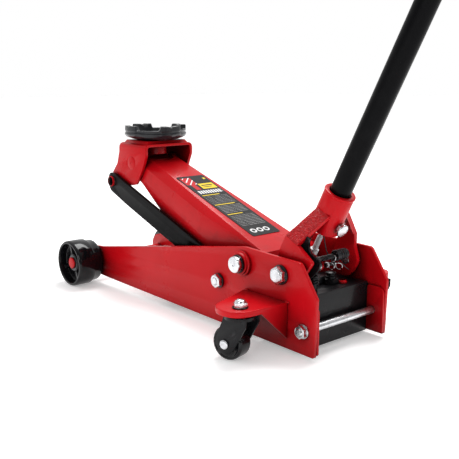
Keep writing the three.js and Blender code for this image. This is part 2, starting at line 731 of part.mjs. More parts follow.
/** The cast saddle: a shallow dish on a stem, with four raised lugs round its rim. */
function saddleDish() {
  const floor = PLATEAU_TOP + 0.4;
  const dish = turned("z", [
    [0, 264], [STEM_R, 264], [STEM_R, floor], [38, floor], [52, floor + 5], [SADDLE_R, 299],
    [SADDLE_R, RIM_TOP], [54, RIM_TOP], [46, 300], [40, 297], [16, 296], [14, 294], [0, 294],
  ], 24);
  const lugs = [0, 1, 2, 3].map((k) => {
    const middle = LUG_TURN + (k * Math.PI) / 2;
    const [from, to] = [middle - LUG_ARC / 2, middle + LUG_ARC / 2];
    const sector = new THREE.Shape([...arc(SADDLE_R, from, to), ...arc(48, to, from)]);
    return prism("xy", sector, RIM_TOP - 5, SADDLE_TOP);
  });
  return join(dish, ...lugs);
}

const bracketPin = rod("y", BRACKET_PIN_R, -57.2, 57.2);
add(jack, "saddle_bracket", RED, saddleBracket());
add(jack, "bracket_pin", RED, bracketPin, BRACKET_PIVOT[0], 0, BRACKET_PIVOT[1]);
add(jack, "saddle", CAST_BLACK, saddleDish(), SADDLE_X, 0, 0);

// ---------------------------------------------------------------- handle socket

/** The forked casting that swings on the chassis: a tube for the handle, two shoulders, two legs. */
function handleSocket() {
  const half = [[FORK_OUTER, 30], [FORK_OUTER, SHOULDER[0], 6], [SOCKET_R, SHOULDER[1]]];
  const inside = [
    [SOCKET_R - 4, SHOULDER[1] - 6], [FORK_INNER, SHOULDER[0] - 3.5, 4], [FORK_INNER, 30],
  ];
  const mirrored = (points) => points.map(([y, z, r]) => [-y, z, r]).reverse();
  const fork = outline([...half, ...mirrored(half), ...mirrored(inside), ...inside]);
  const ear = [[22, -16, 14], [8, -28, 14], [-14, -26, 14], [-26, -6, 12], [-31, 24, 8], [-31, 48]];
  const legs = {
    left: [[-5, 48], [32, 42, 4], [29, 20, 8], ...ear],
    right: [[-5, 48], [4, 30, 10], [22, 12, 10], ...ear],
  };
  return cut(
    join(
      rod("z", SOCKET_R, SOCKET_BOTTOM, SOCKET_MOUTH, 28).translate(HANDLE_X, 0, 0),
      prism("yz", fork, -31, -5),
      sidePlate(-1, outline(legs.left), FORK_INNER, FORK_OUTER),
      sidePlate(1, outline(legs.right), FORK_INNER, FORK_OUTER),
    ),
    rod("z", HANDLE_R + 0.5, SOCKET_BOTTOM - 5, SOCKET_MOUTH + 5, 28).translate(HANDLE_X, 0, 0),
    rod("y", SOCKET_BOLT_R + GAP, -80, 80),
    rod("x", LOCK_BOLT_R + GAP, HANDLE_X, 10, 16).translate(0, 0, LOCK_BOLT_Z),
  );
}

/** Two cheeks that hang from the socket and hold the roller which presses the pump's plunger. The outer
 *  one also carries the long pin of the return spring. */
function pumpLever() {
  const outerCheek = outline([
    [-28, 58.4], [-15, 58.4], [-12, 41, 4], [-4, 37, 4], [14, 38, 4], [27, 34, 6], [27, 12, 8],
    [14, 3, 8], [2, 4, 6], [-22, 30, 8],
  ]);
  const top = SOCKET_BOTTOM - GAP;
  const innerCheek = outline([
    [-29, top], [-19, top], [-20, 47, 8], [-22.5, 29, 8], [-11, 20.5, 6], [11, 23.5, 5], [19.5, 19, 5],
    [19.5, 9, 6], [13, 5, 6], [-4, 4, 8], [-31, 26, 8],
  ]);
  const [rollerX, rollerZ] = PUMP_ROLLER;
  const [pinX, pinZ] = SPRING_PIN;
  return join(
    prism("xz", outerCheek, -48, -44.4),
    prism("xz", innerCheek, -19.6, -16),
    rod("y", ROLLER_AXLE_R, -50, -14, 16).translate(rollerX, 0, rollerZ),
    rod("y", 4, -47, FORK_INNER - GAP, 16).translate(pinX, 0, pinZ),
  );
}

const socket = group(jack, SOCKET_PIVOT[0], 0, SOCKET_PIVOT[1]);
socket.rotation.y = HANDLE_LEAN;
add(socket, "handle_socket", RED, handleSocket());
add(socket, "pump_lever", RED, pumpLever());
const pumpRoller = ring("y", 7, ROLLER_AXLE_R + GAP, -43.8, -20.2, 16);
add(socket, "pump_roller", STEEL, pumpRoller, PUMP_ROLLER[0], 0, PUMP_ROLLER[1]);
const lockBolt = join(
  rod("x", LOCK_BOLT_R, -3.3, 5, 16),
  hexagon("x", 20, 4.6, 13),
  rod("x", 9, 12, 14.2, 16),
);
add(socket, "lock_bolt", ZINC, lockBolt, 0, 0, LOCK_BOLT_Z);
const returnSpring = coil("y", 7.2, 1.4, 2, 26, 6);
add(socket, "return_spring", CAST_BLACK, returnSpring, SPRING_PIN[0], 0, SPRING_PIN[1]);

// ---------------------------------------------------------------- handle

const handle = group(socket, HANDLE_X, 0, 0);
const bore = HANDLE_R - HANDLE_WALL;
const key = [
  [0, 10], [7, 10], [7, 18], [4.5, 18], [4.5, 42], [2.5, 42], [2.5, 66], [bore - GAP, 66],
  [bore - GAP, 78], [0, 78],
];
const gripProfile = [
  [HANDLE_R + GAP, 870], [18.6, 870], [19.6, 876], [19.6, 1014], [15, 1022], [0, 1022],
  [0, HANDLE_TOP + 2], [HANDLE_R + GAP, HANDLE_TOP + 2], [HANDLE_R + GAP, 870],
];
const upperTube = ring("z", HANDLE_R, bore, HANDLE_JOINT + 0.6, HANDLE_TOP, 24);
const boltHole = rod("x", 3 + GAP, -25, 25, 16).translate(0, 0, HANDLE_JOINT + 25);
const lowerProfile = [
  [bore, HANDLE_BOTTOM], [HANDLE_R, HANDLE_BOTTOM], [HANDLE_R, HANDLE_JOINT],
  [bore - GAP, HANDLE_JOINT], [bore - GAP, HANDLE_JOINT + 45], [bore - 3, HANDLE_JOINT + 45],
  [bore - 3, HANDLE_JOINT - 45], [bore, HANDLE_JOINT - 45], [bore, HANDLE_BOTTOM],
];
const lowerTube = cut(turned("z", lowerProfile, 24), boltHole);
const jointBolt = join(rod("x", 3, -19, 19, 16), hexagon("x", 10, HANDLE_R + 0.6, 21));
add(handle, "handle_lower_tube", BLACK, lowerTube);
add(handle, "handle_upper_tube", BLACK, cut(upperTube, boltHole));
add(handle, "handle_joint_bolt", ZINC, jointBolt, 0, 0, HANDLE_JOINT + 25);
add(handle, "handle_grip", GRIP_BLACK, turned("z", gripProfile, 24));
add(handle, "release_key", ZINC, turned("z", key, 24));

// ---------------------------------------------------------------- pump plunger and release valve

const plungerProfile = [
  [0, 76], [PLUNGER_R, 76], [PLUNGER_R, 112.3], [10, 112.3], [10, 115.3], [9, 116.3], [0, 116.3],
];
add(jack, "pump_plunger", STEEL, turned("z", plungerProfile, 16), PUMP[0], PUMP[1], 0);
const spindle = [[0, 89], [5, 89], [5, 103], [8, 103], [8, 112], [6, 114], [0, 114]];
add(jack, "release_spindle", ZINC, turned("z", spindle, 16), RELEASE[0], RELEASE[1], 0);

// ---------------------------------------------------------------- the part's origin

const bounds = new THREE.Box3().setFromObject(jack);
const middle = bounds.getCenter(new THREE.Vector3());
jack.position.set(-middle.x, -middle.y, -bounds.min.z);

export default jack;
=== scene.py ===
"""Looks of a hydraulic trolley jack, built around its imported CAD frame.

Metres, +Z up, +X towards the handle. Profiles and outlines are in millimetres, in the frame that each is
placed in.
"""

import json
import math

import bmesh
import bpy
from mathutils import Matrix, Vector
from mathutils.noise import noise


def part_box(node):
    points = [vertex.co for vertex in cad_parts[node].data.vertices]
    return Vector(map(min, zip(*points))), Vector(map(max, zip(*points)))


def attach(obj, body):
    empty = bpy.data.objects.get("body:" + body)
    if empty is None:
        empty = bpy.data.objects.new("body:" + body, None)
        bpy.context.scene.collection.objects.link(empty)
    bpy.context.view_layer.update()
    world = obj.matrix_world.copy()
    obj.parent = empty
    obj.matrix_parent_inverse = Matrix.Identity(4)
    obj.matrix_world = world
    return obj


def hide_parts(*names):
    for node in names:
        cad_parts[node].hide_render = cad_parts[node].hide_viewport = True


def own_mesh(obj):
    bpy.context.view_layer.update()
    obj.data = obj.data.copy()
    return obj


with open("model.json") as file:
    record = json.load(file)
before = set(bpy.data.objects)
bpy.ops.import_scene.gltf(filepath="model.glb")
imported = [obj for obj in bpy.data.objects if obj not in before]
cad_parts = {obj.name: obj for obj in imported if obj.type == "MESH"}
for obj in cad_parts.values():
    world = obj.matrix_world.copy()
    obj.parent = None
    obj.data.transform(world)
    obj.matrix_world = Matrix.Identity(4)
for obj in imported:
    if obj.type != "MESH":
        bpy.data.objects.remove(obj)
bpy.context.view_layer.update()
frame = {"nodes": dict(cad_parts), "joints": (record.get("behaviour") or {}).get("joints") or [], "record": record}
NODES = frame["nodes"]
RECORD = frame["record"]
BODY_OF = {node: body for body, nodes in RECORD["behaviour"]["bodies"].items() for node in nodes}
SLOT_OF = {row["node"]: row["material_slot"] for row in RECORD["subparts"]}
JOINTS = {joint["name"]: joint for joint in frame["joints"]}
SIDES = {"left": -1, "right": 1}
MM = 0.001
TURN = 2 * math.pi
OUTSIDE = 84.3  # from the centre plane to just clear of a side plate's outer face
INSIDE = 77.7  # and to just clear of its inner face
HANDLE_OFFSET = -20  # from the socket's pivot to the handle's axis, across the handle

MAIN_PIVOT = Vector(JOINTS["arm_lift"]["pos_m"])
BRACKET_PIVOT = Vector(JOINTS["bracket_level"]["pos_m"])
LINK_PIVOT = Vector(JOINTS["link_swing"]["pos_m"])
SOCKET_PIVOT = Vector(JOINTS["handle_swing"]["pos_m"])
FRONT_AXLE = Vector(JOINTS["front_wheel_left_spin"]["pos_m"])
HANDLE_AXIS = Vector(JOINTS["handle_twist"]["axis"])
FRONT_AXLE.y = 0
X, Y, Z = Vector((1, 0, 0)), Vector((0, 1, 0)), Vector((0, 0, 1))


def at(x, y, z):
    """A point given in millimetres behind the front axle, off the centre plane and above the floor."""
    return Vector((FRONT_AXLE.x + x * MM, y * MM, z * MM))


def placed(origin, turn=None):
    """Turns millimetres in a local frame into metres in the row frame."""
    turned_by = turn.to_4x4() if turn else Matrix.Identity(4)
    return Matrix.Translation(origin) @ turned_by @ Matrix.Scale(MM, 4)


def along(axis, origin):
    """A local frame in millimetres whose Z runs along an axis of the row frame."""
    return placed(origin, axis.to_track_quat("Z", "Y").to_matrix())


ARM_ANGLE = math.atan2(BRACKET_PIVOT.z - MAIN_PIVOT.z, MAIN_PIVOT.x - BRACKET_PIVOT.x)
HANDLE_LEAN = math.atan2(HANDLE_AXIS.x, HANDLE_AXIS.z)
ROW = placed(at(0, 0, 0))
ARM = placed(MAIN_PIVOT, Matrix.Rotation(ARM_ANGLE, 3, "Y"))
SOCKET = placed(SOCKET_PIVOT, Matrix.Rotation(HANDLE_LEAN, 3, "Y"))
HANDLE = SOCKET @ Matrix.Translation((HANDLE_OFFSET, 0, 0))


# ---------------------------------------------------------------- camera, light and floor

CAMERA_AZIMUTH = math.radians(48.71)
CAMERA_HEIGHT_ANGLE = math.radians(11.56)
CAMERA_PLACE = Vector((0.8077, -0.8466, 0.4060))
CAMERA_LENS = 58.31
WHITE_WALL = Vector((-0.80, 0.45, 0.35))
DIM_WALL = 0.22
FLOOR_GLOW = 0.32
FLOOR_REACH = 14  # from the middle of the floor to its sides


def make_camera():
    data = bpy.data.cameras.new("camera")
    data.sensor_width = 36
    data.lens = CAMERA_LENS
    data.clip_start = 0.01
    data.clip_end = 50
    camera = bpy.data.objects.new("camera", data)
    flat = math.cos(CAMERA_HEIGHT_ANGLE)
    back = Vector((
        math.sin(CAMERA_AZIMUTH) * flat,
        -math.cos(CAMERA_AZIMUTH) * flat,
        math.sin(CAMERA_HEIGHT_ANGLE),
    ))
    camera.location = CAMERA_PLACE
    camera.rotation_mode = "QUATERNION"
    camera.rotation_quaternion = (-back).to_track_quat("-Z", "Y")
    bpy.context.collection.objects.link(camera)
    bpy.context.scene.camera = camera


def area_light(name, place, target, size, power):
    data = bpy.data.lights.new(name, "AREA")
    data.shape = "RECTANGLE"
    data.size, data.size_y = size
    data.energy = power
    light = bpy.data.objects.new(name, data)
    light.location = place
    light.rotation_euler = (Vector(target) - Vector(place)).to_track_quat("-Z", "Y").to_euler()
    bpy.context.collection.objects.link(light)


def make_studio():
    area_light("overhead", (-0.5, 0.9, 2.2), (0, 0, 0.1), (1.6, 1.0), 52)
    area_light("near_side", (0.9, -2.4, 1.3), (0, 0, 0.12), (1.2, 0.7), 16)
    area_light("rear_side", (2.4, 0.5, 0.9), (0.1, 0, 0.15), (0.7, 0.9), 5)
    make_surroundings()
    bpy.context.scene.view_settings.view_transform = "Standard"


def make_surroundings():
    """White walls behind the jack and overhead, and a dim room behind the camera."""
    world = bpy.data.worlds.new("studio")
    world.use_nodes = True
    tree = world.node_tree
    background = tree.nodes["Background"]
    background.inputs["Color"].default_value = (1, 1, 1, 1)
    place = tree.nodes.new("ShaderNodeTexCoord")
    facing = tree.nodes.new("ShaderNodeVectorMath")
    facing.operation = "DOT_PRODUCT"
    facing.inputs[1].default_value = WHITE_WALL.normalized()
    tree.links.new(place.outputs["Generated"], facing.inputs[0])
    strength = tree.nodes.new("ShaderNodeMapRange")
    for name, number in zip(("From Min", "From Max", "To Min", "To Max"), (-0.35, 0.45, DIM_WALL, 1.0)):
        strength.inputs[name].default_value = number
    tree.links.new(facing.outputs["Value"], strength.inputs["Value"])
    tree.links.new(strength.outputs["Result"], background.inputs["Strength"])
    bpy.context.scene.world = world


def make_floor():
    mesh = bpy.data.meshes.new("floor")
    corners = [(FLOOR_REACH * x, FLOOR_REACH * y, 0) for x, y in ((-1, -1), (1, -1), (1, 1), (-1, 1))]
    mesh.from_pydata(corners, [], [(0, 1, 2, 3)])
    floor = bpy.data.objects.new("floor", mesh)
    bpy.context.collection.objects.link(floor)
    material, shader = new_material("floor", (0.95, 0.95, 0.95), 0.8, specular=0.1)
    shader.inputs["Emission Color"].default_value = (1, 1, 1, 1)
    shader.inputs["Emission Strength"].default_value = FLOOR_GLOW
    mesh.materials.append(material)


# ---------------------------------------------------------------- materials

def new_material(name, colour, roughness, metallic=0.0, coat=0.0, specular=0.5):
    """A principled material whose constant values sit on the shader's own sockets."""
    material = bpy.data.materials.new(name)
    material.use_nodes = True
    shader = material.node_tree.nodes["Principled BSDF"]
    shader.inputs["Base Color"].default_value = (*colour, 1)
    shader.inputs["Roughness"].default_value = roughness
    shader.inputs["Metallic"].default_value = metallic
    shader.inputs["Coat Weight"].default_value = coat
    shader.inputs["Coat Roughness"].default_value = 0.04
    shader.inputs["Specular IOR Level"].default_value = specular
    return material, shader


class Nodes:
    """Short calls that add nodes to one material and wire them up."""

    def __init__(self, material, space="Object"):
        self.tree = material.node_tree
        self.shader = self.tree.nodes["Principled BSDF"]
        self.place = self.tree.nodes.new("ShaderNodeTexCoord").outputs[space]

    def link(self, source, target):
        if hasattr(source, "links"):
            self.tree.links.new(source, target)
        else:
            target.default_value = source

    def noise(self, scale, detail=4.0, roughness=0.55, stretch=None):
        node = self.tree.nodes.new("ShaderNodeTexNoise")
        node.inputs["Scale"].default_value = scale
        node.inputs["Detail"].default_value = detail
        node.inputs["Roughness"].default_value = roughness
        place = self.place
        if stretch:
            mapping = self.tree.nodes.new("ShaderNodeMapping")
            mapping.inputs["Scale"].default_value = stretch
            self.link(self.place, mapping.inputs["Vector"])
            place = mapping.outputs["Vector"]
        self.link(place, node.inputs["Vector"])
        return node.outputs["Fac"]

    def voronoi(self, scale):
        node = self.tree.nodes.new("ShaderNodeTexVoronoi")
        node.inputs["Scale"].default_value = scale
        self.link(self.place, node.inputs["Vector"])
        return node.outputs["Distance"]

    def axes(self):
        """The place's three numbers."""
        node = self.tree.nodes.new("ShaderNodeSeparateXYZ")
        self.link(self.place, node.inputs[0])
        return node.outputs

    def ramp(self, value, low, high, start=0.0, end=1.0):
        """Turns low..high of a value into start..end."""
        node = self.tree.nodes.new("ShaderNodeMapRange")
        self.link(value, node.inputs["Value"])
        for name, number in zip(("From Min", "From Max", "To Min", "To Max"), (low, high, start, end)):
            node.inputs[name].default_value = number
        return node.outputs["Result"]

    def math(self, operation, first, second=0.0):
        node = self.tree.nodes.new("ShaderNodeMath")
        node.operation = operation
        self.link(first, node.inputs[0])
        self.link(second, node.inputs[1])
        return node.outputs[0]

    def between(self, value, low, high):
        """1 where the value lies between two numbers, otherwise 0."""
        above = self.math("GREATER_THAN", value, low)
        return self.math("MULTIPLY", above, self.math("LESS_THAN", value, high))

    def mix(self, factor, first, second):
        node = self.tree.nodes.new("ShaderNodeMix")
        node.data_type = "RGBA"
        self.link(factor, node.inputs["Factor"])
        for colour, socket in ((first, node.inputs[6]), (second, node.inputs[7])):
            self.link((*colour, 1) if isinstance(colour, tuple) else colour, socket)
        return node.outputs[2]

    def pointiness(self):
        """Above a half on outer edges and below a half in inner corners."""
        return self.tree.nodes.new("ShaderNodeNewGeometry").outputs["Pointiness"]

    def openness(self, reach):
        """Near 1 out in the open and near 0 deep between other surfaces."""
        node = self.tree.nodes.new("ShaderNodeAmbientOcclusion")
        node.samples = 8
        node.inputs["Distance"].default_value = reach
        return node.outputs["AO"]

    def wear(self):
        """High on outer edges, broken up by noise."""
        edge = self.ramp(self.pointiness(), 0.53, 0.66)
        patchy = self.ramp(self.noise(60, 6), 0.52, 0.7)
        return self.math("MULTIPLY", edge, patchy)

    def colour(self, source):
        self.link(source, self.shader.inputs["Base Color"])

    def roughness(self, source):
        self.link(source, self.shader.inputs["Roughness"])

    def bump(self, height, distance, strength=1.0):
        node = self.tree.nodes.new("ShaderNodeBump")
        node.inputs["Distance"].default_value = distance
        node.inputs["Strength"].default_value = strength
        self.link(height, node.inputs["Height"])
        if self.shader.inputs["Normal"].links:
            before = self.shader.inputs["Normal"].links[0].from_socket
            self.link(before, node.inputs["Normal"])
        self.link(node.outputs["Normal"], self.shader.inputs["Normal"])


def red_enamel():
    """Sprayed gloss enamel: orange peel, faint clouding, edges where the paint has pulled thin, and painted shade
    that darkens it in corners and between parts.
    """
    material, _ = new_material("red_enamel", (0.48, 0.003, 0.006), 0.3, coat=0.08, specular=0.09)
    nodes = Nodes(material)
    cloud = nodes.ramp(nodes.noise(7, 4), 0.35, 0.65)
    paint = nodes.mix(cloud, (0.46, 0.002, 0.005), (0.53, 0.003, 0.008))
    thin = nodes.math("MULTIPLY", nodes.wear(), 0.35)
    worn = nodes.mix(thin, paint, (0.30, 0.004, 0.006))
    # painted shade: the colour goes to a deep red where ambient occlusion finds other surfaces close by
    nodes.colour(nodes.mix(nodes.ramp(nodes.openness(0.14), 0.2, 0.68), (0.07, 0.001, 0.0015), worn))
    nodes.roughness(nodes.ramp(nodes.noise(30, 5), 0.3, 0.7, 0.26, 0.37))
    nodes.bump(nodes.noise(420, 2), 0.0001, 0.3)
    nodes.bump(nodes.noise(26, 2), 0.0004, 0.2)
    return material


def rough_red():
    """The same enamel over weld spatter and hammered scale."""
    material, _ = new_material("rough_red", (0.46, 0.004, 0.008), 0.4, coat=0.15, specular=0.2)
    nodes = Nodes(material)
    pits = nodes.math("MULTIPLY", nodes.voronoi(620), nodes.ramp(nodes.noise(260, 5), 0.3, 0.7, 0.4, 1.4))
    nodes.colour(nodes.mix(nodes.ramp(pits, 0.1, 0.7), (0.55, 0.008, 0.012), (0.36, 0.003, 0.006)))
    nodes.roughness(nodes.ramp(nodes.noise(300, 4), 0.3, 0.7, 0.28, 0.5))
    nodes.bump(pits, 0.0009, 0.9)
    nodes.bump(nodes.noise(900, 3), 0.0003, 0.5)
    return material


def black_enamel(name, colour, roughness, coat, specular=0.12):
    material, _ = new_material(name, colour, roughness, coat=coat, specular=specular)
    nodes = Nodes(material)
    dust = nodes.ramp(nodes.noise(22, 7, 0.65), 0.5, 0.8, 0.0, 0.3)
    pale = tuple(c + 0.012 for c in colour)
    rubbed = nodes.math("MULTIPLY", nodes.wear(), 0.5)
    nodes.colour(nodes.mix(rubbed, nodes.mix(dust, colour, pale), (0.06, 0.06, 0.063)))
    nodes.roughness(nodes.ramp(nodes.noise(45, 6), 0.3, 0.7, roughness - 0.06, roughness + 0.08))
    nodes.bump(nodes.noise(650, 2), 0.0001, 0.35)
    return material


def cast_iron():
    material, _ = new_material("cast_black", (0.010, 0.011, 0.013), 0.34, coat=0.25, specular=0.2)
    nodes = Nodes(material)
    grain = nodes.noise(240, 5, 0.7)
    rubbed = nodes.math("MULTIPLY", nodes.wear(), 0.5)
    skin = nodes.mix(grain, (0.007, 0.008, 0.010), (0.016, 0.017, 0.020))
    nodes.colour(nodes.mix(rubbed, skin, (0.09, 0.09, 0.095)))
    nodes.roughness(nodes.ramp(grain, 0.3, 0.7, 0.26, 0.42))
    nodes.bump(grain, 0.0004, 0.4)
    nodes.bump(nodes.noise(40, 3), 0.0012, 0.4)
    return material


def metal(name, colour, roughness, dark, grain_scale, stretch=None, metallic=1.0):
    material, _ = new_material(name, colour, roughness, metallic=metallic)
    nodes = Nodes(material)
    stain = nodes.ramp(nodes.noise(70, 6, 0.6), 0.45, 0.75)
    # painted shade: darker in the inner corners that pointiness finds, taken together with the real stains
    crevice_shade = nodes.ramp(nodes.pointiness(), 0.40, 0.495, 1.0, 0.0)
    stain_and_crevice_shade = nodes.math("MAXIMUM", stain, crevice_shade)
    nodes.colour(nodes.mix(stain_and_crevice_shade, colour, dark))
    grain = nodes.noise(grain_scale, 4, 0.6, stretch)
    nodes.roughness(nodes.ramp(grain, 0.3, 0.7, roughness - 0.08, roughness + 0.12))
    nodes.bump(grain, 0.00008, 0.4)
    return material


def grip_rubber():
    material, _ = new_material("grip_rubber", (0.010, 0.010, 0.011), 0.7, specular=0.25)
    nodes = Nodes(material)
    skin = nodes.voronoi(900)
    nodes.colour(nodes.mix(nodes.noise(30, 5), (0.007, 0.007, 0.008), (0.02, 0.02, 0.02)))
    nodes.roughness(nodes.ramp(nodes.noise(80, 4), 0.3, 0.7, 0.6, 0.85))
    nodes.bump(skin, 0.0003, 0.6)
    return material


LABEL_RED = (0.50, 0.006, 0.010)
LABEL_WHITE = (0.75, 0.75, 0.75)
LABEL_YELLOW = (0.78, 0.56, 0.02)
LABEL_GREY = (0.20, 0.20, 0.20)
LABEL_DARK = (0.02, 0.02, 0.02)

# The label's printed blocks: [start, end] along it from its front, [low, high] across it, and a colour
LABEL_BLOCKS = [
    (0.03, 0.15, 0.05, 0.42, LABEL_RED), (0.14, 0.24, 0.16, 0.32, LABEL_RED),
    (0.145, 0.235, 0.42, 0.94, LABEL_YELLOW), (0.17, 0.185, 0.48, 0.88, LABEL_DARK),
    (0.20, 0.21, 0.48, 0.80, LABEL_DARK), (0.05, 0.075, 0.84, 0.92, LABEL_YELLOW),
    (0.335, 0.345, 0.08, 0.70, LABEL_YELLOW), (0.50, 0.51, 0.08, 0.80, LABEL_YELLOW),
    (0.66, 0.67, 0.08, 0.62, LABEL_YELLOW),
]
LABEL_HEADING = (0.26, 0.31)
LABEL_TEXT_ROWS = [(0.355, 0.49), (0.52, 0.65), (0.68, 0.86)]
LABEL_MARKS = [(0.93, 0.22), (0.93, 0.45), (0.93, 0.68)]
LABEL_LONG = 3.52  # its length over its width


def printed_label():
    """Glossy printed film: blocks of colour, rows of fine marks in place of text, and plain rings."""
    material, _ = new_material("printed_label", (0.01, 0.01, 0.011), 0.3, coat=0.04, specular=0.1)
    nodes = Nodes(material, "UV")
    u, v, _ = nodes.axes()

    def inside(start, end, low, high):
        return nodes.math("MULTIPLY", nodes.between(u, start, end), nodes.between(v, low, high))

    def repeats(value, count, low, high):
        return nodes.between(nodes.math("FRACT", nodes.math("MULTIPLY", value, count)), low, high)

    ink = nodes.mix(nodes.noise(40, 3), (0.004, 0.004, 0.005), (0.009, 0.009, 0.010))
    for start, end, low, high, colour in LABEL_BLOCKS:
        ink = nodes.mix(inside(start, end, low, high), ink, colour)
    slant = nodes.math("ADD", nodes.math("MULTIPLY", u, LABEL_LONG), v)
    stripes = nodes.math("MULTIPLY", inside(0.03, 0.15, 0.12, 0.42), repeats(slant, 5.0, 0.3, 0.55))
    ink = nodes.mix(stripes, ink, LABEL_WHITE)
    heading = nodes.math("MULTIPLY", inside(*LABEL_HEADING, 0.08, 0.94), repeats(v, 11.0, 0.22, 0.86))
    ink = nodes.mix(heading, ink, LABEL_WHITE)
    letters = nodes.math("GREATER_THAN", nodes.noise(1.0, 2, 0.5, (4, 46, 1)), 0.45)
    marks = nodes.math("MULTIPLY", repeats(u, 48.0, 0.3, 0.7), letters)
    for start, end in LABEL_TEXT_ROWS:
        ink = nodes.mix(nodes.math("MULTIPLY", inside(start, end, 0.08, 0.92), marks), ink, LABEL_GREY)
    for mark_u, mark_v in LABEL_MARKS:
        off_u = nodes.math("MULTIPLY", nodes.math("SUBTRACT", u, mark_u), LABEL_LONG)
        off_v = nodes.math("SUBTRACT", v, mark_v)
        squares = nodes.math("ADD", nodes.math("POWER", off_u, 2.0), nodes.math("POWER", off_v, 2.0))
        ink = nodes.mix(nodes.between(squares, 0.003, 0.010), ink, LABEL_WHITE)
    nodes.colour(ink)
    nodes.roughness(nodes.ramp(nodes.noise(20, 4), 0.3, 0.7, 0.26, 0.4))
    nodes.bump(nodes.noise(60, 2), 0.0002, 0.2)
    return material


RED = red_enamel()
ROUGH_RED = rough_red()
BLACK = black_enamel("black_satin", (0.005, 0.005, 0.006), 0.3, 0.08)
DEEP_BLACK = black_enamel("black_gloss", (0.002, 0.002, 0.0025), 0.3, 0.02, 0.05)
GLOSS_BLACK = black_enamel("wheel_black", (0.003, 0.003, 0.004), 0.2, 0.3)
CAST = cast_iron()
SPRING = metal("spring_steel", (0.045, 0.045, 0.05), 0.35, (0.02, 0.018, 0.016), 300)
ZINC = metal("zinc_plate", (0.62, 0.63, 0.65), 0.2, (0.36, 0.37, 0.39), 260)
STEEL = metal("bare_steel", (0.60, 0.61, 0.63), 0.26, (0.40, 0.40, 0.41), 500)
BRIGHT_BAR = metal("bright_bar", (0.66, 0.67, 0.69), 0.3, (0.5, 0.5, 0.51), 60, (1, 30, 1))
KEY_GREY = metal("key_grey", (0.62, 0.63, 0.65), 0.4, (0.4, 0.4, 0.4), 200, metallic=0.15)
HUB_GREY = metal("hub_grey", (0.09, 0.09, 0.095), 0.4, (0.04, 0.04, 0.04), 300)
GRIP = grip_rubber()
LABEL = printed_label()
MATERIALS = {
    "red_paint": RED,
    "black_paint": BLACK,
    "wheel_enamel": GLOSS_BLACK,
    "cast_iron_black": CAST,
    "spring_steel": SPRING,
    "zinc_plate": ZINC,
    "bare_steel": STEEL,
    "grip_rubber": GRIP,
    "printed_label": LABEL,
}
SLOT_NAMES = {material: name for name, material in MATERIALS.items()}
SLOT_NAMES[ROUGH_RED] = "red_paint"
SLOT_NAMES[DEEP_BLACK] = "black_paint"
SLOT_NAMES[KEY_GREY] = "zinc_plate"
SLOT_NAMES[HUB_GREY] = "wheel_enamel"
SLOT_NAMES[BRIGHT_BAR] = "zinc_plate"


# ---------------------------------------------------------------- mesh tools, in millimetres

def rounded(profile, reach, steps=3):
    """The same profile with its corners eased."""
    closed = profile[0] == profile[-1]
    corners = [Vector(corner) for corner in (profile[:-1] if closed else profile)]
    eased = []
    for k, here in enumerate(corners):
        if not closed and k in (0, len(corners) - 1):
            eased.append(here)
            continue
        before, after = corners[k - 1] - here, corners[(k + 1) % len(corners)] - here
        start = here + before.normalized() * min(reach, 0.45 * before.length)
        end = here + after.normalized() * min(reach, 0.45 * after.length)
        for step in range(steps + 1):
            t = step / steps
            eased.append(start * (1 - t) ** 2 + here * 2 * t * (1 - t) + end * t * t)
    if closed:
        eased.append(eased[0])
    return [tuple(point) for point in eased]


def mesh_of(made, sharp_above=35):
    """A finished bmesh as a mesh that is smooth but for its sharp edges."""
    bmesh.ops.recalc_face_normals(made, faces=made.faces)
    mesh = bpy.data.meshes.new("mesh")
    made.to_mesh(mesh)
    made.free()
    mesh.shade_smooth()
    mesh.set_sharp_from_angle(angle=math.radians(sharp_above))
    return mesh


def skin(loops, wrapped=False):
    """A closed skin through loops of points. A loop of one point is a tip; wrapped joins last to first."""
    made = bmesh.new()
    rows = [[made.verts.new(point) for point in loop] for loop in loops]
    if wrapped:
        rows.append(rows[0])
    for low, high in zip(rows, rows[1:]):
        count = max(len(low), len(high))
        for k in range(count):
            after = k + 1
            ring = [low[k % len(low)], low[after % len(low)], high[after % len(high)], high[k % len(high)]]
            made.faces.new(list(dict.fromkeys(ring)))
    return made


def polar(rows_at, count=96):
    """A solid round local Z. rows_at(angle) gives its [radius, height] rows, tip to tip or in a loop."""
    angles = [TURN * k / count for k in range(count)]
    columns = [rows_at(angle) for angle in angles]
    wrapped = columns[0][0] == columns[0][-1]
    loops = []
    for row in range(len(columns[0]) - (1 if wrapped else 0)):
        radius, height = columns[0][row]
        if radius < 1e-6:
            loops.append([(0, 0, height)])
            continue
        ring = [(angle, *column[row]) for angle, column in zip(angles, columns)]
        loops.append([(reach * math.cos(angle), reach * math.sin(angle), z) for angle, reach, z in ring])
    return mesh_of(skin(loops, wrapped))


def turned(profile, ease=0.5, count=96):
    eased = rounded(profile, ease)
    return polar(lambda angle: eased, count)


def ring_profile(bore, radius, bottom, top):
    return [(bore, bottom), (radius, bottom), (radius, top), (bore, top), (bore, bottom)]


def rod_profile(radius, bottom, top):
    return [(0, bottom), (radius, bottom), (radius, top), (0, top)]


def hexagon(flats, bottom, top, hole=0.0):
    """A nut or bolt head with its corners chamfered by 30 degrees."""
    half = flats / 2

    def rows(angle):
        corner = half / math.cos((angle + math.radians(30)) % math.radians(60) - math.radians(30))
        drop = max(0, corner - 0.95 * half) * math.tan(math.radians(30))
        side = [(corner, bottom + 0.4 * drop), (corner, top - drop), (0.93 * half, top)]
        if hole:
            ring = [(hole, bottom), (0.97 * half, bottom), *side, (hole + 0.6, top), (hole, top - 0.6)]
            return ring + ring[:1]
        return [(0, bottom), (0.97 * half, bottom), *side, (0, top)]

    return polar(rows, 72)


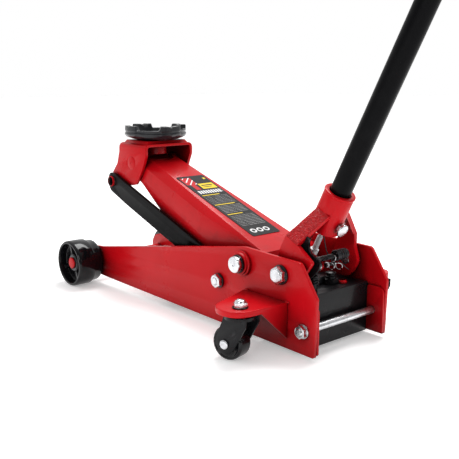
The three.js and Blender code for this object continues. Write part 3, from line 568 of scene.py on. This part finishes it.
def thread(radius, bottom, top, pitch=1.25):
    """A stud with turned ridges and a domed end."""
    rows = [(0, bottom), (radius, bottom)]
    height = bottom
    while height + pitch < top - 1:
        rows += [(radius, height + 0.1 * pitch), (radius - 0.45 * pitch, height + 0.6 * pitch)]
        height += pitch
    rows += [(radius, height), (radius - 0.8, top - 0.3), (0, top)]
    return polar(lambda angle: rows, 48)


def tube(path, radius, sides=14):
    """A round bar along a path. radius is a number, or a function of the share of the way along."""
    points = [Vector(point) for point in path]
    width = radius if callable(radius) else lambda share: radius
    across = None
    loops = [[points[0]]]
    for k, point in enumerate(points):
        ahead = (points[min(k + 1, len(points) - 1)] - points[max(k - 1, 0)]).normalized()
        if across is None:
            across = ahead.orthogonal().normalized()
        across = (across - ahead * across.dot(ahead)).normalized()
        other = ahead.cross(across)
        size = width(k / (len(points) - 1))
        loops.append([
            point + size * (across * math.cos(TURN * n / sides) + other * math.sin(TURN * n / sides))
            for n in range(sides)
        ])
    loops.append([points[-1]])
    return mesh_of(skin(loops), 50)


def helix(radius, wire, bottom, top, turns, steps=28):
    """A compression spring round local Z whose last turn at each end lies almost flat."""
    count = int(turns * steps)
    path = []
    for k in range(count + 1):
        share = k / count
        ease = share - math.sin(TURN * share) / TURN * 0.5
        angle = TURN * turns * share
        path.append((radius * math.cos(angle), radius * math.sin(angle), bottom + (top - bottom) * ease))
    return tube(path, wire, 10)


def slab(corners, bottom, top, ease=0.3):
    """A flat plate with an eased rim, from its outline."""
    inner = [Vector(corner) for corner in corners]
    centre = sum(inner, Vector((0, 0))) / len(inner)
    shrunk = [corner + (centre - corner).normalized() * ease for corner in inner]
    loops = [
        [(centre.x, centre.y, bottom)],
        [(*corner, bottom) for corner in shrunk],
        [(*corner, bottom + ease) for corner in inner],
        [(*corner, top - ease) for corner in inner],
        [(*corner, top) for corner in shrunk],
        [(centre.x, centre.y, top)],
    ]
    return skin(loops)


def box_corners(x0, x1, y0, y1, radius, steps=6):
    """The outline of a rectangle with round corners."""
    corners = []
    for k, (x, y) in enumerate([(x1, y1), (x0, y1), (x0, y0), (x1, y0)]):
        centre = (x - radius * (1 if x == x1 else -1), y - radius * (1 if y == y1 else -1))
        for step in range(steps + 1):
            angle = math.radians(90) * (k + step / steps)
            corners.append((centre[0] + radius * math.cos(angle), centre[1] + radius * math.sin(angle)))
    return corners


def bead(path, width, seed):
    """A weld bead: a low ridge of overlapping ripples."""
    points = [Vector(point) for point in path]
    length = (points[-1] - points[0]).length
    count = max(6, int(length / 0.8))
    dense = [points[0].lerp(points[-1], k / count) for k in range(count + 1)]

    def size(share):
        ends = min(1, 4 * share, 4 * (1 - share))
        ripple = abs(math.sin(share * length * 0.9)) * 0.16
        lumps = noise(Vector((share * length * 0.25, seed, 0))) * 0.2
        return width * max(0.15, math.sqrt(ends)) * (0.84 + ripple + lumps)

    return tube(dense, size, 12)


# ---------------------------------------------------------------- pieces

def show(name, mesh, local, body, material, *nodes):
    """Puts a finished mesh in place as a piece that moves with a body and stands for some CAD nodes."""
    mesh.transform(local)
    if not mesh.materials:
        mesh.materials.append(material)
    piece = bpy.data.objects.new(name, mesh)
    bpy.context.collection.objects.link(piece)
    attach(piece, body)
    if nodes:
        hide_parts(*nodes)
    return piece


def cad_mesh(node):
    """A CAD node's body with its split vertices merged and its flat faces whole."""
    made = bmesh.new()
    made.from_mesh(NODES[node].data)
    bmesh.ops.remove_doubles(made, verts=made.verts, dist=1e-6)
    flat = math.radians(0.5)
    bmesh.ops.dissolve_limit(made, angle_limit=flat, verts=made.verts, edges=made.edges)
    return made


def refined(node, ease, material=None, other=None, other_where=None):
    """The CAD node with its edges rounded. Faces that other_where picks take the other material."""
    material = material or MATERIALS[SLOT_OF[node]]
    made = cad_mesh(node)
    mesh = bpy.data.meshes.new(node + "_body")
    made.to_mesh(mesh)
    made.free()
    mesh.materials.append(material)
    if other:
        mesh.materials.append(other)
        for face in mesh.polygons:
            face.material_index = 1 if other_where(face) else 0
    mesh.shade_smooth()
    draft = bpy.data.objects.new(node + "_draft", mesh)
    bpy.context.collection.objects.link(draft)
    bevel = draft.modifiers.new("ease", "BEVEL")
    bevel.width = ease * MM
    bevel.segments = 3
    bevel.limit_method = "ANGLE"
    bevel.angle_limit = math.radians(32)
    bevel.use_clamp_overlap = True
    bevel.harden_normals = True
    final = bpy.data.meshes.new_from_object(draft.evaluated_get(bpy.context.evaluated_depsgraph_get()))
    bpy.data.objects.remove(draft)
    return show(node + "_body", final, Matrix.Identity(4), BODY_OF[node], material, node)


ON_AXIS = 0.1  # nearer the axis than this counts as on it


def meridian(node, axis, centre):
    """The [radius, height] profile, in millimetres, of a turned CAD node, along one line of its edges.

    The walk stops where the line of edges does, so a profile can end before the node does.
    """
    made = cad_mesh(node)
    to_local = along(axis, centre).inverted()
    local = {vert: to_local @ vert.co for vert in made.verts}
    radius = {vert: math.hypot(p.x, p.y) for vert, p in local.items()}
    widest = max(made.verts, key=lambda vert: radius[vert])
    ray = local[widest].xy.normalized()
    line = [v for v in made.verts if radius[v] < ON_AXIS or (local[v].xy / radius[v] - ray).length < 0.03]
    ways = {vert: [edge.other_vert(vert) for edge in vert.link_edges] for vert in line}
    ways = {vert: [other for other in others if other in ways] for vert, others in ways.items()}
    here = next((vert for vert in line if radius[vert] < ON_AXIS), line[0])
    walk = [here]
    while True:
        ahead = [vert for vert in ways[here] if vert not in walk]
        if not ahead:
            break
        here = ahead[0]
        walk.append(here)
    profile = [(radius[vert] if radius[vert] > ON_AXIS else 0.0, local[vert].z) for vert in walk]
    if profile[0][0] > 0:
        profile.append(profile[0])
    made.free()
    return profile


def middle(node):
    low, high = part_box(node)
    return (Vector(low) + Vector(high)) / 2


def reround(node, axis, material=None):
    """A turned CAD node as a fine round body with eased edges."""
    centre = middle(node)
    material = material or MATERIALS[SLOT_OF[node]]
    body = turned(meridian(node, axis, centre), 0.4)
    show(node + "_body", body, along(axis, centre), BODY_OF[node], material, node)


# The rounding of each flat or folded node's edges; a name without a side stands for its left and right
EASED = {
    "side_plate": 1.0, "caster_bracket": 1.8, "tie_rod_doubler": 1.0, "front_brace": 0.8,
    "reservoir_tank": 1.6, "valve_block": 0.8, "caster_fork": 0.8, "lift_arm": 1.3, "arm_lever": 0.8,
    "ram_yoke": 0.8, "link_bar": 0.9, "saddle_bracket": 1.1,
}
TURNED = {
    "cylinder_liner": X, "ram_gland": X, "ram_piston": X, "pump_cylinder": Z, "release_spindle": Z,
    "ram_pin": Y, "ram_roller": Y, "link_cross_pin": Y, "pump_roller": Y, "filler_plug": Z,
}


def make_plain_pieces():
    """The pieces whose shape is the CAD node's own, with finer edges or rounder turns."""
    for name, ease in EASED.items():
        for node in [name] if name in NODES else [f"{name}_{word}" for word in SIDES]:
            refined(node, ease, DEEP_BLACK if name == "link_bar" else None)
    for node, axis in TURNED.items():
        reround(node, axis)
    reround("pump_plunger", Z, SPRING)


def side_frame(x, z, side):
    """A frame on a side plate whose Z points out from the centre plane."""
    return along(Vector((0, side, 0)), Vector((x, 0, z)))


def link_bolts():
    """A washer, a nut and a stud's end on each side plate, and the shank that a radius link swings on."""
    stud, foot = 5.9, 86.5
    washer = ring_profile(stud, 12, OUTSIDE, foot)
    shoulder = stud + 4
    inner = [(0, 57.6), (stud, 57.6), (stud, 63.8), (shoulder, 63.8), (shoulder, INSIDE), (stud, INSIDE)]
    for word, side in SIDES.items():
        local = side_frame(LINK_PIVOT.x, LINK_PIVOT.z, side)
        node = f"link_bolt_{word}"
        # dark spring steel washer: painted shade standing in for the dark that its sides reflect
        show(node + "_washer", turned(washer), local, "chassis", SPRING)
        show(node + "_nut", hexagon(20, foot + 0.05, 93.6, stud + 0.1), local, "chassis", ZINC)
        shank = turned([*inner, (stud, foot), (0, foot)])
        show(node + "_shank", shank, local, "chassis", STEEL, node)
        show(node + "_stud", thread(stud, foot, 95.2), local, "chassis", ZINC)


def make_chassis_fasteners():
    link_bolts()
    socket_bolts()
    tie_rod()


def tie_rod():
    """The rear rod, with a washer, a nut and a threaded end outside each plate."""
    place = middle("tie_rod")
    washer = ring_profile(6.1, 11, OUTSIDE, 86.3)
    for word, side in SIDES.items():
        local = side_frame(place.x, place.z, side)
        show(f"tie_rod_washer_{word}", turned(washer), local, "chassis", ZINC)
        show(f"tie_rod_nut_{word}", hexagon(18, 86.4, 93.3, 6.1), local, "chassis", ZINC)
        show(f"tie_rod_thread_{word}", thread(6, 83, 96.5), local, "chassis", ZINC)
    bar = turned(rod_profile(6, -83, 83))
    show("tie_rod_bar", bar, side_frame(place.x, place.z, 1), "chassis", BRIGHT_BAR, "tie_rod")


def socket_bolts():
    """The large flat bolts that the handle socket swings on."""
    for word, side in SIDES.items():
        local = side_frame(SOCKET_PIVOT.x, SOCKET_PIVOT.z, side)
        shank = [(0, 61.5), (8, 61.5), (8, 69.8), (14, 69.8), (14, INSIDE), (8, INSIDE), (8, 86), (0, 86)]
        show(f"socket_bolt_{word}_shank", turned(shank), local, "chassis", STEEL, f"socket_bolt_{word}")
        # dark spring steel washer: painted shade standing in for the dark that its sides reflect
        washer = turned(ring_profile(8.1, 15, OUTSIDE, 86.5))
        show(f"socket_bolt_{word}_washer", washer, local, "chassis", SPRING)
        show(f"socket_bolt_{word}_head", hexagon(24, 86.55, 95), local, "chassis", ZINC)
        boss = turned([(0, 94.8), (10.4, 94.8), (10.4, 95.4), (9.8, 96.2), (0, 96.2)], 0.3)
        show(f"socket_bolt_{word}_boss", boss, local, "chassis", ZINC)


def make_main_pivot():
    """The shaft that the arm turns on, with a collar, a retaining ring and a cap outside each plate."""
    bore = 10.3
    collar = [
        (bore, OUTSIDE), (20, OUTSIDE), (20, 88.5), (17.6, 89.2), (17.2, 93), (bore, 93), (bore, OUTSIDE),
    ]
    clip = ring_profile(bore, 14.5, 93.3, 97)
    cap = [
        (0, 96.9), (9, 96.9), (9, 97.3), (13, 97.3), (13, 103), (12, 104), (3, 104), (1.5, 103.2),
        (0, 103.2),
    ]
    for word, side in SIDES.items():
        local = side_frame(MAIN_PIVOT.x, MAIN_PIVOT.z, side)
        boss, ring = f"pivot_collar_{word}", f"retaining_ring_{word}"
        show(boss + "_body", turned(collar, 0.7), local, "chassis", RED, boss)
        show(ring + "_body", turned(clip), local, "chassis", GLOSS_BLACK, ring)
        show(f"main_shaft_{word}_cap", turned(cap, 0.4), local, "chassis", ZINC)
    bar = turned(rod_profile(10, -97, 97))
    show("main_shaft_bar", bar, side_frame(MAIN_PIVOT.x, MAIN_PIVOT.z, 1), "chassis", STEEL, "main_shaft")


def shelf_top(word):
    """The height, in millimetres, of a caster bracket's shelf."""
    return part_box(f"caster_bracket_{word}")[1][2] / MM


def make_kingpins():
    """The pins that the casters swivel on, each with a washer and a domed nut on its bracket's shelf."""
    shank = [
        (0, 60.5), (9, 60.5), (9, 64.7), (6, 64.7), (6, 70), (13, 70), (13, 75.5), (6, 75.5), (6, 82),
        (0, 82),
    ]
    washer = ring_profile(6.2, 12, 0.2, 1.8)
    dome = [(0, 8), (8.2, 8), (8.2, 9.4), (7.2, 11.4), (4.6, 12.6), (0, 13)]
    for word, side in SIDES.items():
        swivel = Vector(JOINTS[f"caster_{word}_swivel"]["pos_m"])
        local = placed(Vector((swivel.x, swivel.y, 0)))
        above = local @ Matrix.Translation((0, 0, shelf_top(word)))
        node = f"caster_kingpin_{word}"
        show(node + "_shank", turned(shank), local, "chassis", STEEL, node)
        show(node + "_washer", turned(washer), above, "chassis", GLOSS_BLACK)
        show(node + "_nut", hexagon(19, 1.9, 8.2), above, "chassis", ZINC)
        show(node + "_dome", turned(dome, 1.0), above, "chassis", ZINC)
        bracket_tacks(word, side)


def bracket_tacks(word, side):
    """Short welds where the caster bracket's shelf meets the side plate."""
    shelf = shelf_top(word)
    for name, start, end in (("front", 452, 461), ("rear", 540, 549)):
        path = [(start, side * 85.2, shelf), (end, side * 85.2, shelf - 0.4)]
        show(f"bracket_weld_{name}_{word}", bead(path, 1.6, start), ROW, "chassis", RED)


# ---------------------------------------------------------------- wheels

WHEEL_RIBS = [math.radians(angle) for angle in (22, 112, 202, 292)]


def front_wheel_rows(angle):
    """A pressed wheel: stepped tread, deep face with four ribs, and a hub."""
    nearest = min(abs((angle - rib + math.pi) % TURN - math.pi) for rib in WHEEL_RIBS)

    def face(radius):
        reach = nearest * radius
        rise = min(1, max(0, (5.2 - reach) / 1.6))
        return 127 + 5.2 * rise

    return [
        (16.8, 84.6), (17, 87.3), (36, 87.3), (38.5, 88.2), (40.4, 90.5), (41, 93), (41, 105.2),
        (41.6, 106.2), (44, 107.2), (45, 109.2), (45, 124), (45, 138.5), (44.5, 141), (43, 143),
        (41.5, 143.6), (39.5, 143.3), (38.6, 142), (38, 136), (37, face(37) + 1), (35.5, face(35.5)),
        (28, face(28)), (20, face(20)), (18.2, face(18) + 0.8), (17.2, 132.4), (16, 133), (9.4, 133),
        (9.4, 84.6), (16.8, 84.6),
    ]


def make_front_wheels():
    """Both front wheels with their hub rings, and the axle with its red riveted ends."""
    for word, side in SIDES.items():
        local = side_frame(FRONT_AXLE.x, FRONT_AXLE.z, side)
        body = f"front_wheel_{word}"
        show(body + "_body", polar(front_wheel_rows, 192), local, body, GLOSS_BLACK, body)
        hub = turned(ring_profile(9.4, 15.4, 133.1, 134.2))
        show(body + "_hub_ring", hub, local, body, HUB_GREY)
        cap = [(0, 134.4), (11.5, 134.4), (11.5, 136.6), (9.5, 138), (4, 138.4), (0, 138.5)]
        show(f"front_axle_cap_{word}", turned(cap, 0.8), local, "chassis", RED)
    bar = turned([
        (0, -134.6), (9, -134.6), (9, -78), (8.5, -INSIDE), (8.5, INSIDE), (9, 78), (9, 134.6), (0, 134.6),
    ])
    show("front_axle_bar", bar, side_frame(FRONT_AXLE.x, FRONT_AXLE.z, 1), "chassis", RED, "front_axle")


def make_caster_wheels():
    """Both caster wheels, and the riveted axles that their forks hold."""
    for word in SIDES:
        joint = JOINTS[f"caster_{word}_spin"]
        local = along(Vector(joint["axis"]), Vector(joint["pos_m"]))
        side = [(4.5, 14), (15, 14), (16, 12.5), (20.5, 12.5), (22, 14), (24.2, 13.3), (26, 10.5)]
        tread = [*side, *((radius, -height) for radius, height in side[::-1]), side[0]]
        node = f"caster_wheel_{word}"
        show(node + "_body", turned(tread, 1.2), local, node, GLOSS_BLACK, node)
        head = [(4, 18.3), (7, 18.3), (7, 20.6), (5, 21.3), (0, 21.3)]
        pin = [*((radius, -height) for radius, height in head[::-1]), *head]
        axle = f"caster_axle_{word}"
        show(axle + "_body", turned(pin, 0.5), local, BODY_OF[axle], ZINC, axle)


# ---------------------------------------------------------------- saddle, its bracket and the lift arm

LUG_MIDDLES = [math.radians(-6 + 90 * k) for k in range(4)]
LUG_HALF = math.radians(23)


def saddle_rows(angle):
    """A cast dish with a thick wavy rim and four raised lugs."""
    off = min(abs((angle - lug + math.pi) % TURN - math.pi) for lug in LUG_MIDDLES)
    lug = min(1, max(0, (LUG_HALF - off) / math.radians(3.5)))
    notch = 1 - 0.28 * math.exp(-((off / math.radians(4)) ** 2))
    top = 308 + 8.4 * lug * notch
    wave = 0.9 * math.sin(4 * angle + 1) + 0.5 * math.sin(9 * angle)
    cast = 0.25 * noise(Vector((3 * math.cos(angle), 3 * math.sin(angle), 2)))
    reach = 60 - 1.1 * (1 - lug) + cast
    return [
        (0, 264), (11.4, 264), (12, 264.8), (12, 289.1), (36, 289.1), (38.5, 289.6),
        (46, 291.6 + 0.4 * wave), (53, 294.6 + wave), (57, 296.6 + wave), (reach - 0.9, 298.8 + wave),
        (reach, 300.8 + wave), (reach - 0.2, 302.6 + wave), (reach - 1.5, 304.2 + wave),
        (reach - 1.3, 306.6), (reach - 0.7, 307.4), (reach - 0.8, top - 0.8), (reach - 1.8, top),
        (50.4, top), (49, top - 1), (47.6, 304), (45, 300), (36, 297), (16, 296), (14, 294.4), (12, 294),
        (0, 294),
    ]


def make_saddle():
    """The saddle's casting, and the sleeve and front web of the bracket below it."""
    local = placed(Vector(JOINTS["saddle_turn"]["pos_m"]).xy.to_3d())
    show("saddle_casting", polar(saddle_rows, 240), local, "saddle", CAST, "saddle")
    boss = ring_profile(12.5, 20.4, 262.2, 276.8)
    show("saddle_boss_ring", turned(boss, 0.8), local, "saddle_bracket", RED)
    web = slab(box_corners(59.6, 63.4, -49.2, 49.2, 1), 247, 282.6)
    show("bracket_front_web", mesh_of(web), ROW, "saddle_bracket", RED)


def make_bracket_pin():
    """The bracket's pin, whose peened ends show as small dimpled discs."""
    end = [(0, 56.1), (1.4, 56.1), (2.4, 57), (5, 56.9), (9, 56.3), (12.5, 55.6), (12.6, 55.5), (8, 55.45)]
    mirrored = [(radius, -height) for radius, height in end]
    pin = polar(lambda angle: mirrored + end[::-1], 64)
    local = side_frame(BRACKET_PIVOT.x, BRACKET_PIVOT.z, 1)
    show("bracket_pin_body", pin, local, BODY_OF["bracket_pin"], RED, "bracket_pin")


LABEL_START, LABEL_END = -262, -40
LABEL_HALF = 31.5
LABEL_SKIN = (17.35, 17.75)  # its under and upper face, above the arm's pivot line


def make_label():
    """The printed film on the arm's top, with the share along and across it as its UV."""
    made = slab(box_corners(LABEL_START, LABEL_END, -LABEL_HALF, LABEL_HALF, 4), *LABEL_SKIN, 0.15)
    layer = made.loops.layers.uv.new("print")
    for face in made.faces:
        for loop in face.loops:
            share = (loop.vert.co.x - LABEL_START) / (LABEL_END - LABEL_START)
            loop[layer].uv = (share, 0.5 + loop.vert.co.y / (2 * LABEL_HALF))
    show("arm_label_print", mesh_of(made), ARM, "lift_arm", LABEL, "arm_label")


# ---------------------------------------------------------------- handle socket and pump

def seen_from_socket(face):
    """A face's middle and normal in the handle socket's frame."""
    back = SOCKET.inverted()
    return back @ face.center, (back.to_3x3() @ face.normal).normalized()


def on_shoulder(face):
    """True for the faces of the handle socket's rough outer shoulders."""
    place, normal = seen_from_socket(face)
    return -33 < place.x < -3 and 46 < place.z < 96 and abs(normal.y) > 0.5 and normal.z > 0.25


def make_socket():
    """The forked socket with its rolled lip and rough shoulders."""
    refined("handle_socket", 1.2, RED, ROUGH_RED, on_shoulder)
    bore = 16.9
    lip = [
        (bore, 121), (24, 121), (24.9, 122.4), (24.6, 124.4), (22, 125.2), (17.6, 124.8), (bore, 123.6),
        (bore, 121),
    ]
    show("socket_lip", turned(lip, 0.8), HANDLE, "handle_socket", RED)
    for word, side in SIDES.items():
        shoulder_relief(word, side)


def shoulder_relief(word, side):
    """Weld spatter on a shoulder: a thin lumpy skin from the tube's side down to the leg."""
    low, high = Vector((0, side * 68.3, 49.2)), Vector((0, side * 25.6, 91.4))
    outward = Vector((0, side * (high.z - low.z), abs(high.y - low.y))).normalized()
    across, down = 30, 66
    tops, bottoms = [], []
    for row in range(down + 1):
        for column in range(across + 1):
            point = low.lerp(high, row / down) + Vector((-30 + 24 * column / across, 0, 0))
            rim = row in (0, down) or column in (0, across)
            coarse = noise(point * 0.28 + Vector((side * 9, 0, 0)))
            fine = noise(point * 0.62)
            height = 0.05 if rim else 0.75 + 0.4 * coarse + 0.8 * fine
            tops.append(point + outward * max(0.05, height))
            bottoms.append(point - outward * 0.6)
    made = grid_skin(tops, bottoms, across, down)
    show(f"shoulder_skin_{word}", mesh_of(made, 80), SOCKET, "handle_socket", ROUGH_RED)


def grid_skin(tops, bottoms, across, down):
    """A closed skin between two grids of points, each of down + 1 rows of across + 1."""
    made = bmesh.new()
    top = [made.verts.new(point) for point in tops]
    bottom = [made.verts.new(point) for point in bottoms]
    width = across + 1
    for row in range(down):
        for column in range(across):
            k = row * width + column
            made.faces.new([top[k], top[k + 1], top[k + width + 1], top[k + width]])
            made.faces.new([bottom[k], bottom[k + width], bottom[k + width + 1], bottom[k + 1]])
    first_row = list(range(width))
    last_column = [width * row + across for row in range(1, down + 1)]
    last_row = [width * down + k for k in range(across - 1, -1, -1)]
    first_column = [width * row for row in range(down - 1, 0, -1)]
    edge = first_row + last_column + last_row + first_column
    for now, after in zip(edge, edge[1:] + edge[:1]):
        made.faces.new([top[now], top[after], bottom[after], bottom[now]])
    return made


def without_far_side(mesh, local, reach):
    """Cuts off what lies beyond a distance along a local frame's Y, and closes the cut."""
    made = bmesh.new()
    made.from_mesh(mesh)
    whole = list(made.verts) + list(made.edges) + list(made.faces)
    normal = (local.to_3x3() @ Y).normalized()
    start = local @ Vector((0, reach, 0))
    bmesh.ops.bisect_plane(made, geom=whole, plane_co=start, plane_no=normal, clear_outer=True)
    open_edges = [edge for edge in made.edges if edge.is_boundary]
    bmesh.ops.holes_fill(made, edges=open_edges)
    made.to_mesh(mesh)
    made.free()


SPRING_PIN = (17, 31.7)  # across and along the handle from the socket's pivot


def on_spring_pin(face):
    """True for the faces along the return spring's pin."""
    place, normal = seen_from_socket(face)
    off_axis = math.hypot(place.x - SPRING_PIN[0], place.z - SPRING_PIN[1])
    return abs(normal.y) < 0.3 and place.y > -44 and off_axis < 4.3


def make_pump_lever():
    lever = refined("pump_lever", 0.7, RED, BLACK, on_spring_pin)
    without_far_side(lever.data, SOCKET, -15.9)
    return_spring()
    black_guard_and_shade()
    lever_link()
    lock_bolt()


def across_socket(x, z):
    """A frame whose Z runs across the socket, to its right, from a place in the socket's frame."""
    return SOCKET @ Matrix.Translation((x, 0, z)) @ Matrix.Rotation(math.radians(-90), 4, "X")


def return_spring():
    place = across_socket(*SPRING_PIN)
    show("return_spring_coil", helix(7.2, 1.3, 2, 26, 8), place, "handle_socket", SPRING, "return_spring")
    pin = [(0, -17), (4, -17), (4, 1), (2.2, 3), (2.2, 28), (0, 28)]
    show("return_spring_pin", turned(pin), place, "handle_socket", BLACK)


def lock_bolt():
    """The bolt that holds the handle in its socket, with its large round head."""
    lock = SOCKET @ Matrix.Translation((0, 0, 75)) @ Matrix.Rotation(math.radians(90), 4, "Y")
    shank = turned(rod_profile(4, -3.3, 5))
    show("lock_bolt_shank", shank, lock, "handle_socket", ZINC, "lock_bolt")
    show("lock_bolt_neck", hexagon(12, 4.6, 10), lock, "handle_socket", ZINC)
    head = [(0, 9.8), (9.6, 9.8), (10.4, 10.6), (10.4, 12.8), (9.4, 13.9), (0, 13.9)]
    show("lock_bolt_head", turned(head, 0.5), lock, "handle_socket", ZINC)


def black_guard_and_shade():
    """The black plate between the socket's near leg and the pump lever, with its curved rear edge, drawn large
    enough to also stand as painted shade in the dark recess there.
    """
    corners = [
        (-26, 58), (1, 63), (2.2, 57), (3, 51), (11, 44), (24, 44), (32, 45), (37, 41), (38, 33),
        (35.5, 21), (30, 8), (27, -4), (15, -12), (-6, -14), (-24, 4),
    ]
    closed = [(*corner, 0) for corner in corners + corners[:1]]
    rim = [tuple(Vector(point).xy) for point in rounded(closed, 5, 5)[:-1]]
    upright = SOCKET @ Matrix.Rotation(math.radians(90), 4, "X")
    # black sheet: partly a real guard, partly painted shade over the dark recess beside the lever
    show("lever_guard_and_shade", mesh_of(slab(rim, 52, 55.5)), upright, "handle_socket", BLACK)


def split_ring(radius, wire):
    """A cotter ring in the plane of local X and Z, with its ends a little apart."""
    angles = [TURN * k / 40 for k in range(37)]
    path = [
        (radius * math.cos(angle), 0.5 * math.sin(2 * angle), radius * math.sin(angle))
        for angle in angles
    ]
    return tube(path, wire, 10)


def lever_link():
    """The pin on the pump lever's inner cheek, with its nut, ball, split rings, wire and cable."""
    place = across_socket(21, 20)
    pin = [(0, -17), (3, -17), (3, -8), (2.2, -7), (2.2, -3), (3.4, -1.5), (3.8, 0.6), (3, 2.4), (0, 3.2)]
    show("lever_link_pin", turned(pin, 0.8), place, "handle_socket", SPRING)
    show("lever_link_nut", hexagon(8, -15.6, -11.5, 3.1), place, "handle_socket", STEEL)
    ball = [(0, 3), (1.8, 3.5), (2.5, 5), (1.8, 6.5), (0, 7)]
    show("lever_link_ball", turned(ball, 0.6), place, "handle_socket", ZINC)
    for number, corner in enumerate([(20, -3, 30), (25, -7, 19.5), (32, 1, 23.5)]):
        turn = Matrix.Rotation(math.radians(24 * number - 18), 4, "Z")
        ring_place = SOCKET @ Matrix.Translation(corner) @ turn
        show(f"cotter_ring_{number}", split_ring(5.2, 0.55), ring_place, "handle_socket", STEEL)
    wire = [(-12, -4, 50), (-4, -4, 40), (5, -4, 30.5), (19, -4, 27), (22, -4, 20)]
    cable = [(24, 4, 27), (33, 9, 25), (36, 17, 19.5), (36, 26, 14)]
    socket_wire("release_wire", wire, 6, 0.9)
    socket_wire("lever_cable", cable, 8, 0.75)


def socket_wire(name, path, bend, radius):
    """A thin wire on the socket, bent softly at each point of its path."""
    soft = [tuple(point) for point in rounded(path, bend, 6)]
    show(name, tube(soft, radius, 8), SOCKET, "handle_socket", SPRING)


def make_tank_fitting():
    """The black fitting that stands on the tank between the valve block and the filler plug."""
    local = placed(at(537, 21, 0))
    show("tank_fitting_base", hexagon(22, 88.2, 97), local, "chassis", BLACK)
    top = [
        (0, 96.8), (9, 96.8), (9, 100), (7, 101), (7, 103), (8.5, 104), (8.5, 106), (4, 107.5), (0, 107.5),
    ]
    show("tank_fitting_top", turned(top), local, "chassis", BLACK)


def make_pump_spring():
    low, high = (Vector(corner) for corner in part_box("pump_spring"))
    centre = (low + high) / 2
    wire = 0.9
    mesh = helix(8.2, wire, low.z / MM + wire, high.z / MM - wire, 4)
    local = placed(Vector((centre.x, centre.y, 0)))
    spring = show("pump_spring_coil", mesh, local, BODY_OF["pump_spring"], SPRING, "pump_spring")
    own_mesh(spring)


# ---------------------------------------------------------------- handle

def grip_rows(angle):
    """A rubber grip with long flutes between two plain collars, and a closed end over the tube."""
    flute = 0.5 + 0.5 * math.cos(14 * angle)
    groove = 19.6 - 1.3 * flute
    return [
        (0, 1012), (16.6, 1012), (16.6, 870), (18.4, 870), (19.4, 871.5), (19.6, 874), (19.6, 884),
        (groove, 888), (groove, 1002), (19.6, 1006), (19.5, 1010), (18.4, 1015), (16, 1019), (13, 1021),
        (0, 1021.6),
    ]


def make_handle():
    """Two tubes joined by a sleeve and a bolt, the grip, and the key that turns the release spindle."""
    outer, bore, sleeve_bore, joint = 16.3, 14.3, 11.3, 545
    lower = [
        (bore, 62), (outer, 62), (outer, joint), (bore - 0.3, joint), (bore - 0.3, 590), (sleeve_bore, 590),
        (sleeve_bore, 500), (bore, 500), (bore, 62),
    ]
    show("handle_lower_tube_body", turned(lower, 0.6), HANDLE, "handle", DEEP_BLACK, "handle_lower_tube")
    upper = ring_profile(bore, outer, joint + 0.6, 1010)
    show("handle_upper_tube_body", turned(upper, 0.6), HANDLE, "handle", DEEP_BLACK, "handle_upper_tube")
    bolt = HANDLE @ Matrix.Translation((0, 0, 570)) @ Matrix.Rotation(math.radians(90), 4, "Y")
    show("handle_joint_bolt_shank", thread(3, -19, 17), bolt, "handle", ZINC, "handle_joint_bolt")
    show("handle_joint_bolt_head", hexagon(10, 16.9, 21), bolt, "handle", ZINC)
    show("handle_grip_body", polar(grip_rows, 140), HANDLE, "handle", GRIP, "handle_grip")
    key = [
        (0, 10), (7, 10), (7, 18), (4.5, 18), (4.5, 42), (2.5, 42), (2.5, 66), (14, 66), (14, 78), (0, 78),
    ]
    show("release_key_body", turned(key), HANDLE, "handle", KEY_GREY, "release_key")


# ---------------------------------------------------------------- the whole jack

def paint_cad_nodes():
    """Gives each CAD node its slot's material."""
    for node, cad_object in NODES.items():
        cad_object.data.materials.clear()
        cad_object.data.materials.append(MATERIALS[SLOT_OF[node]])


make_plain_pieces()
make_chassis_fasteners()
make_main_pivot()
make_kingpins()
make_front_wheels()
make_caster_wheels()
make_saddle()
make_bracket_pin()
make_label()
make_socket()
make_pump_lever()
make_pump_spring()
make_tank_fitting()
make_handle()

paint_cad_nodes()
make_camera()
make_studio()
make_floor()
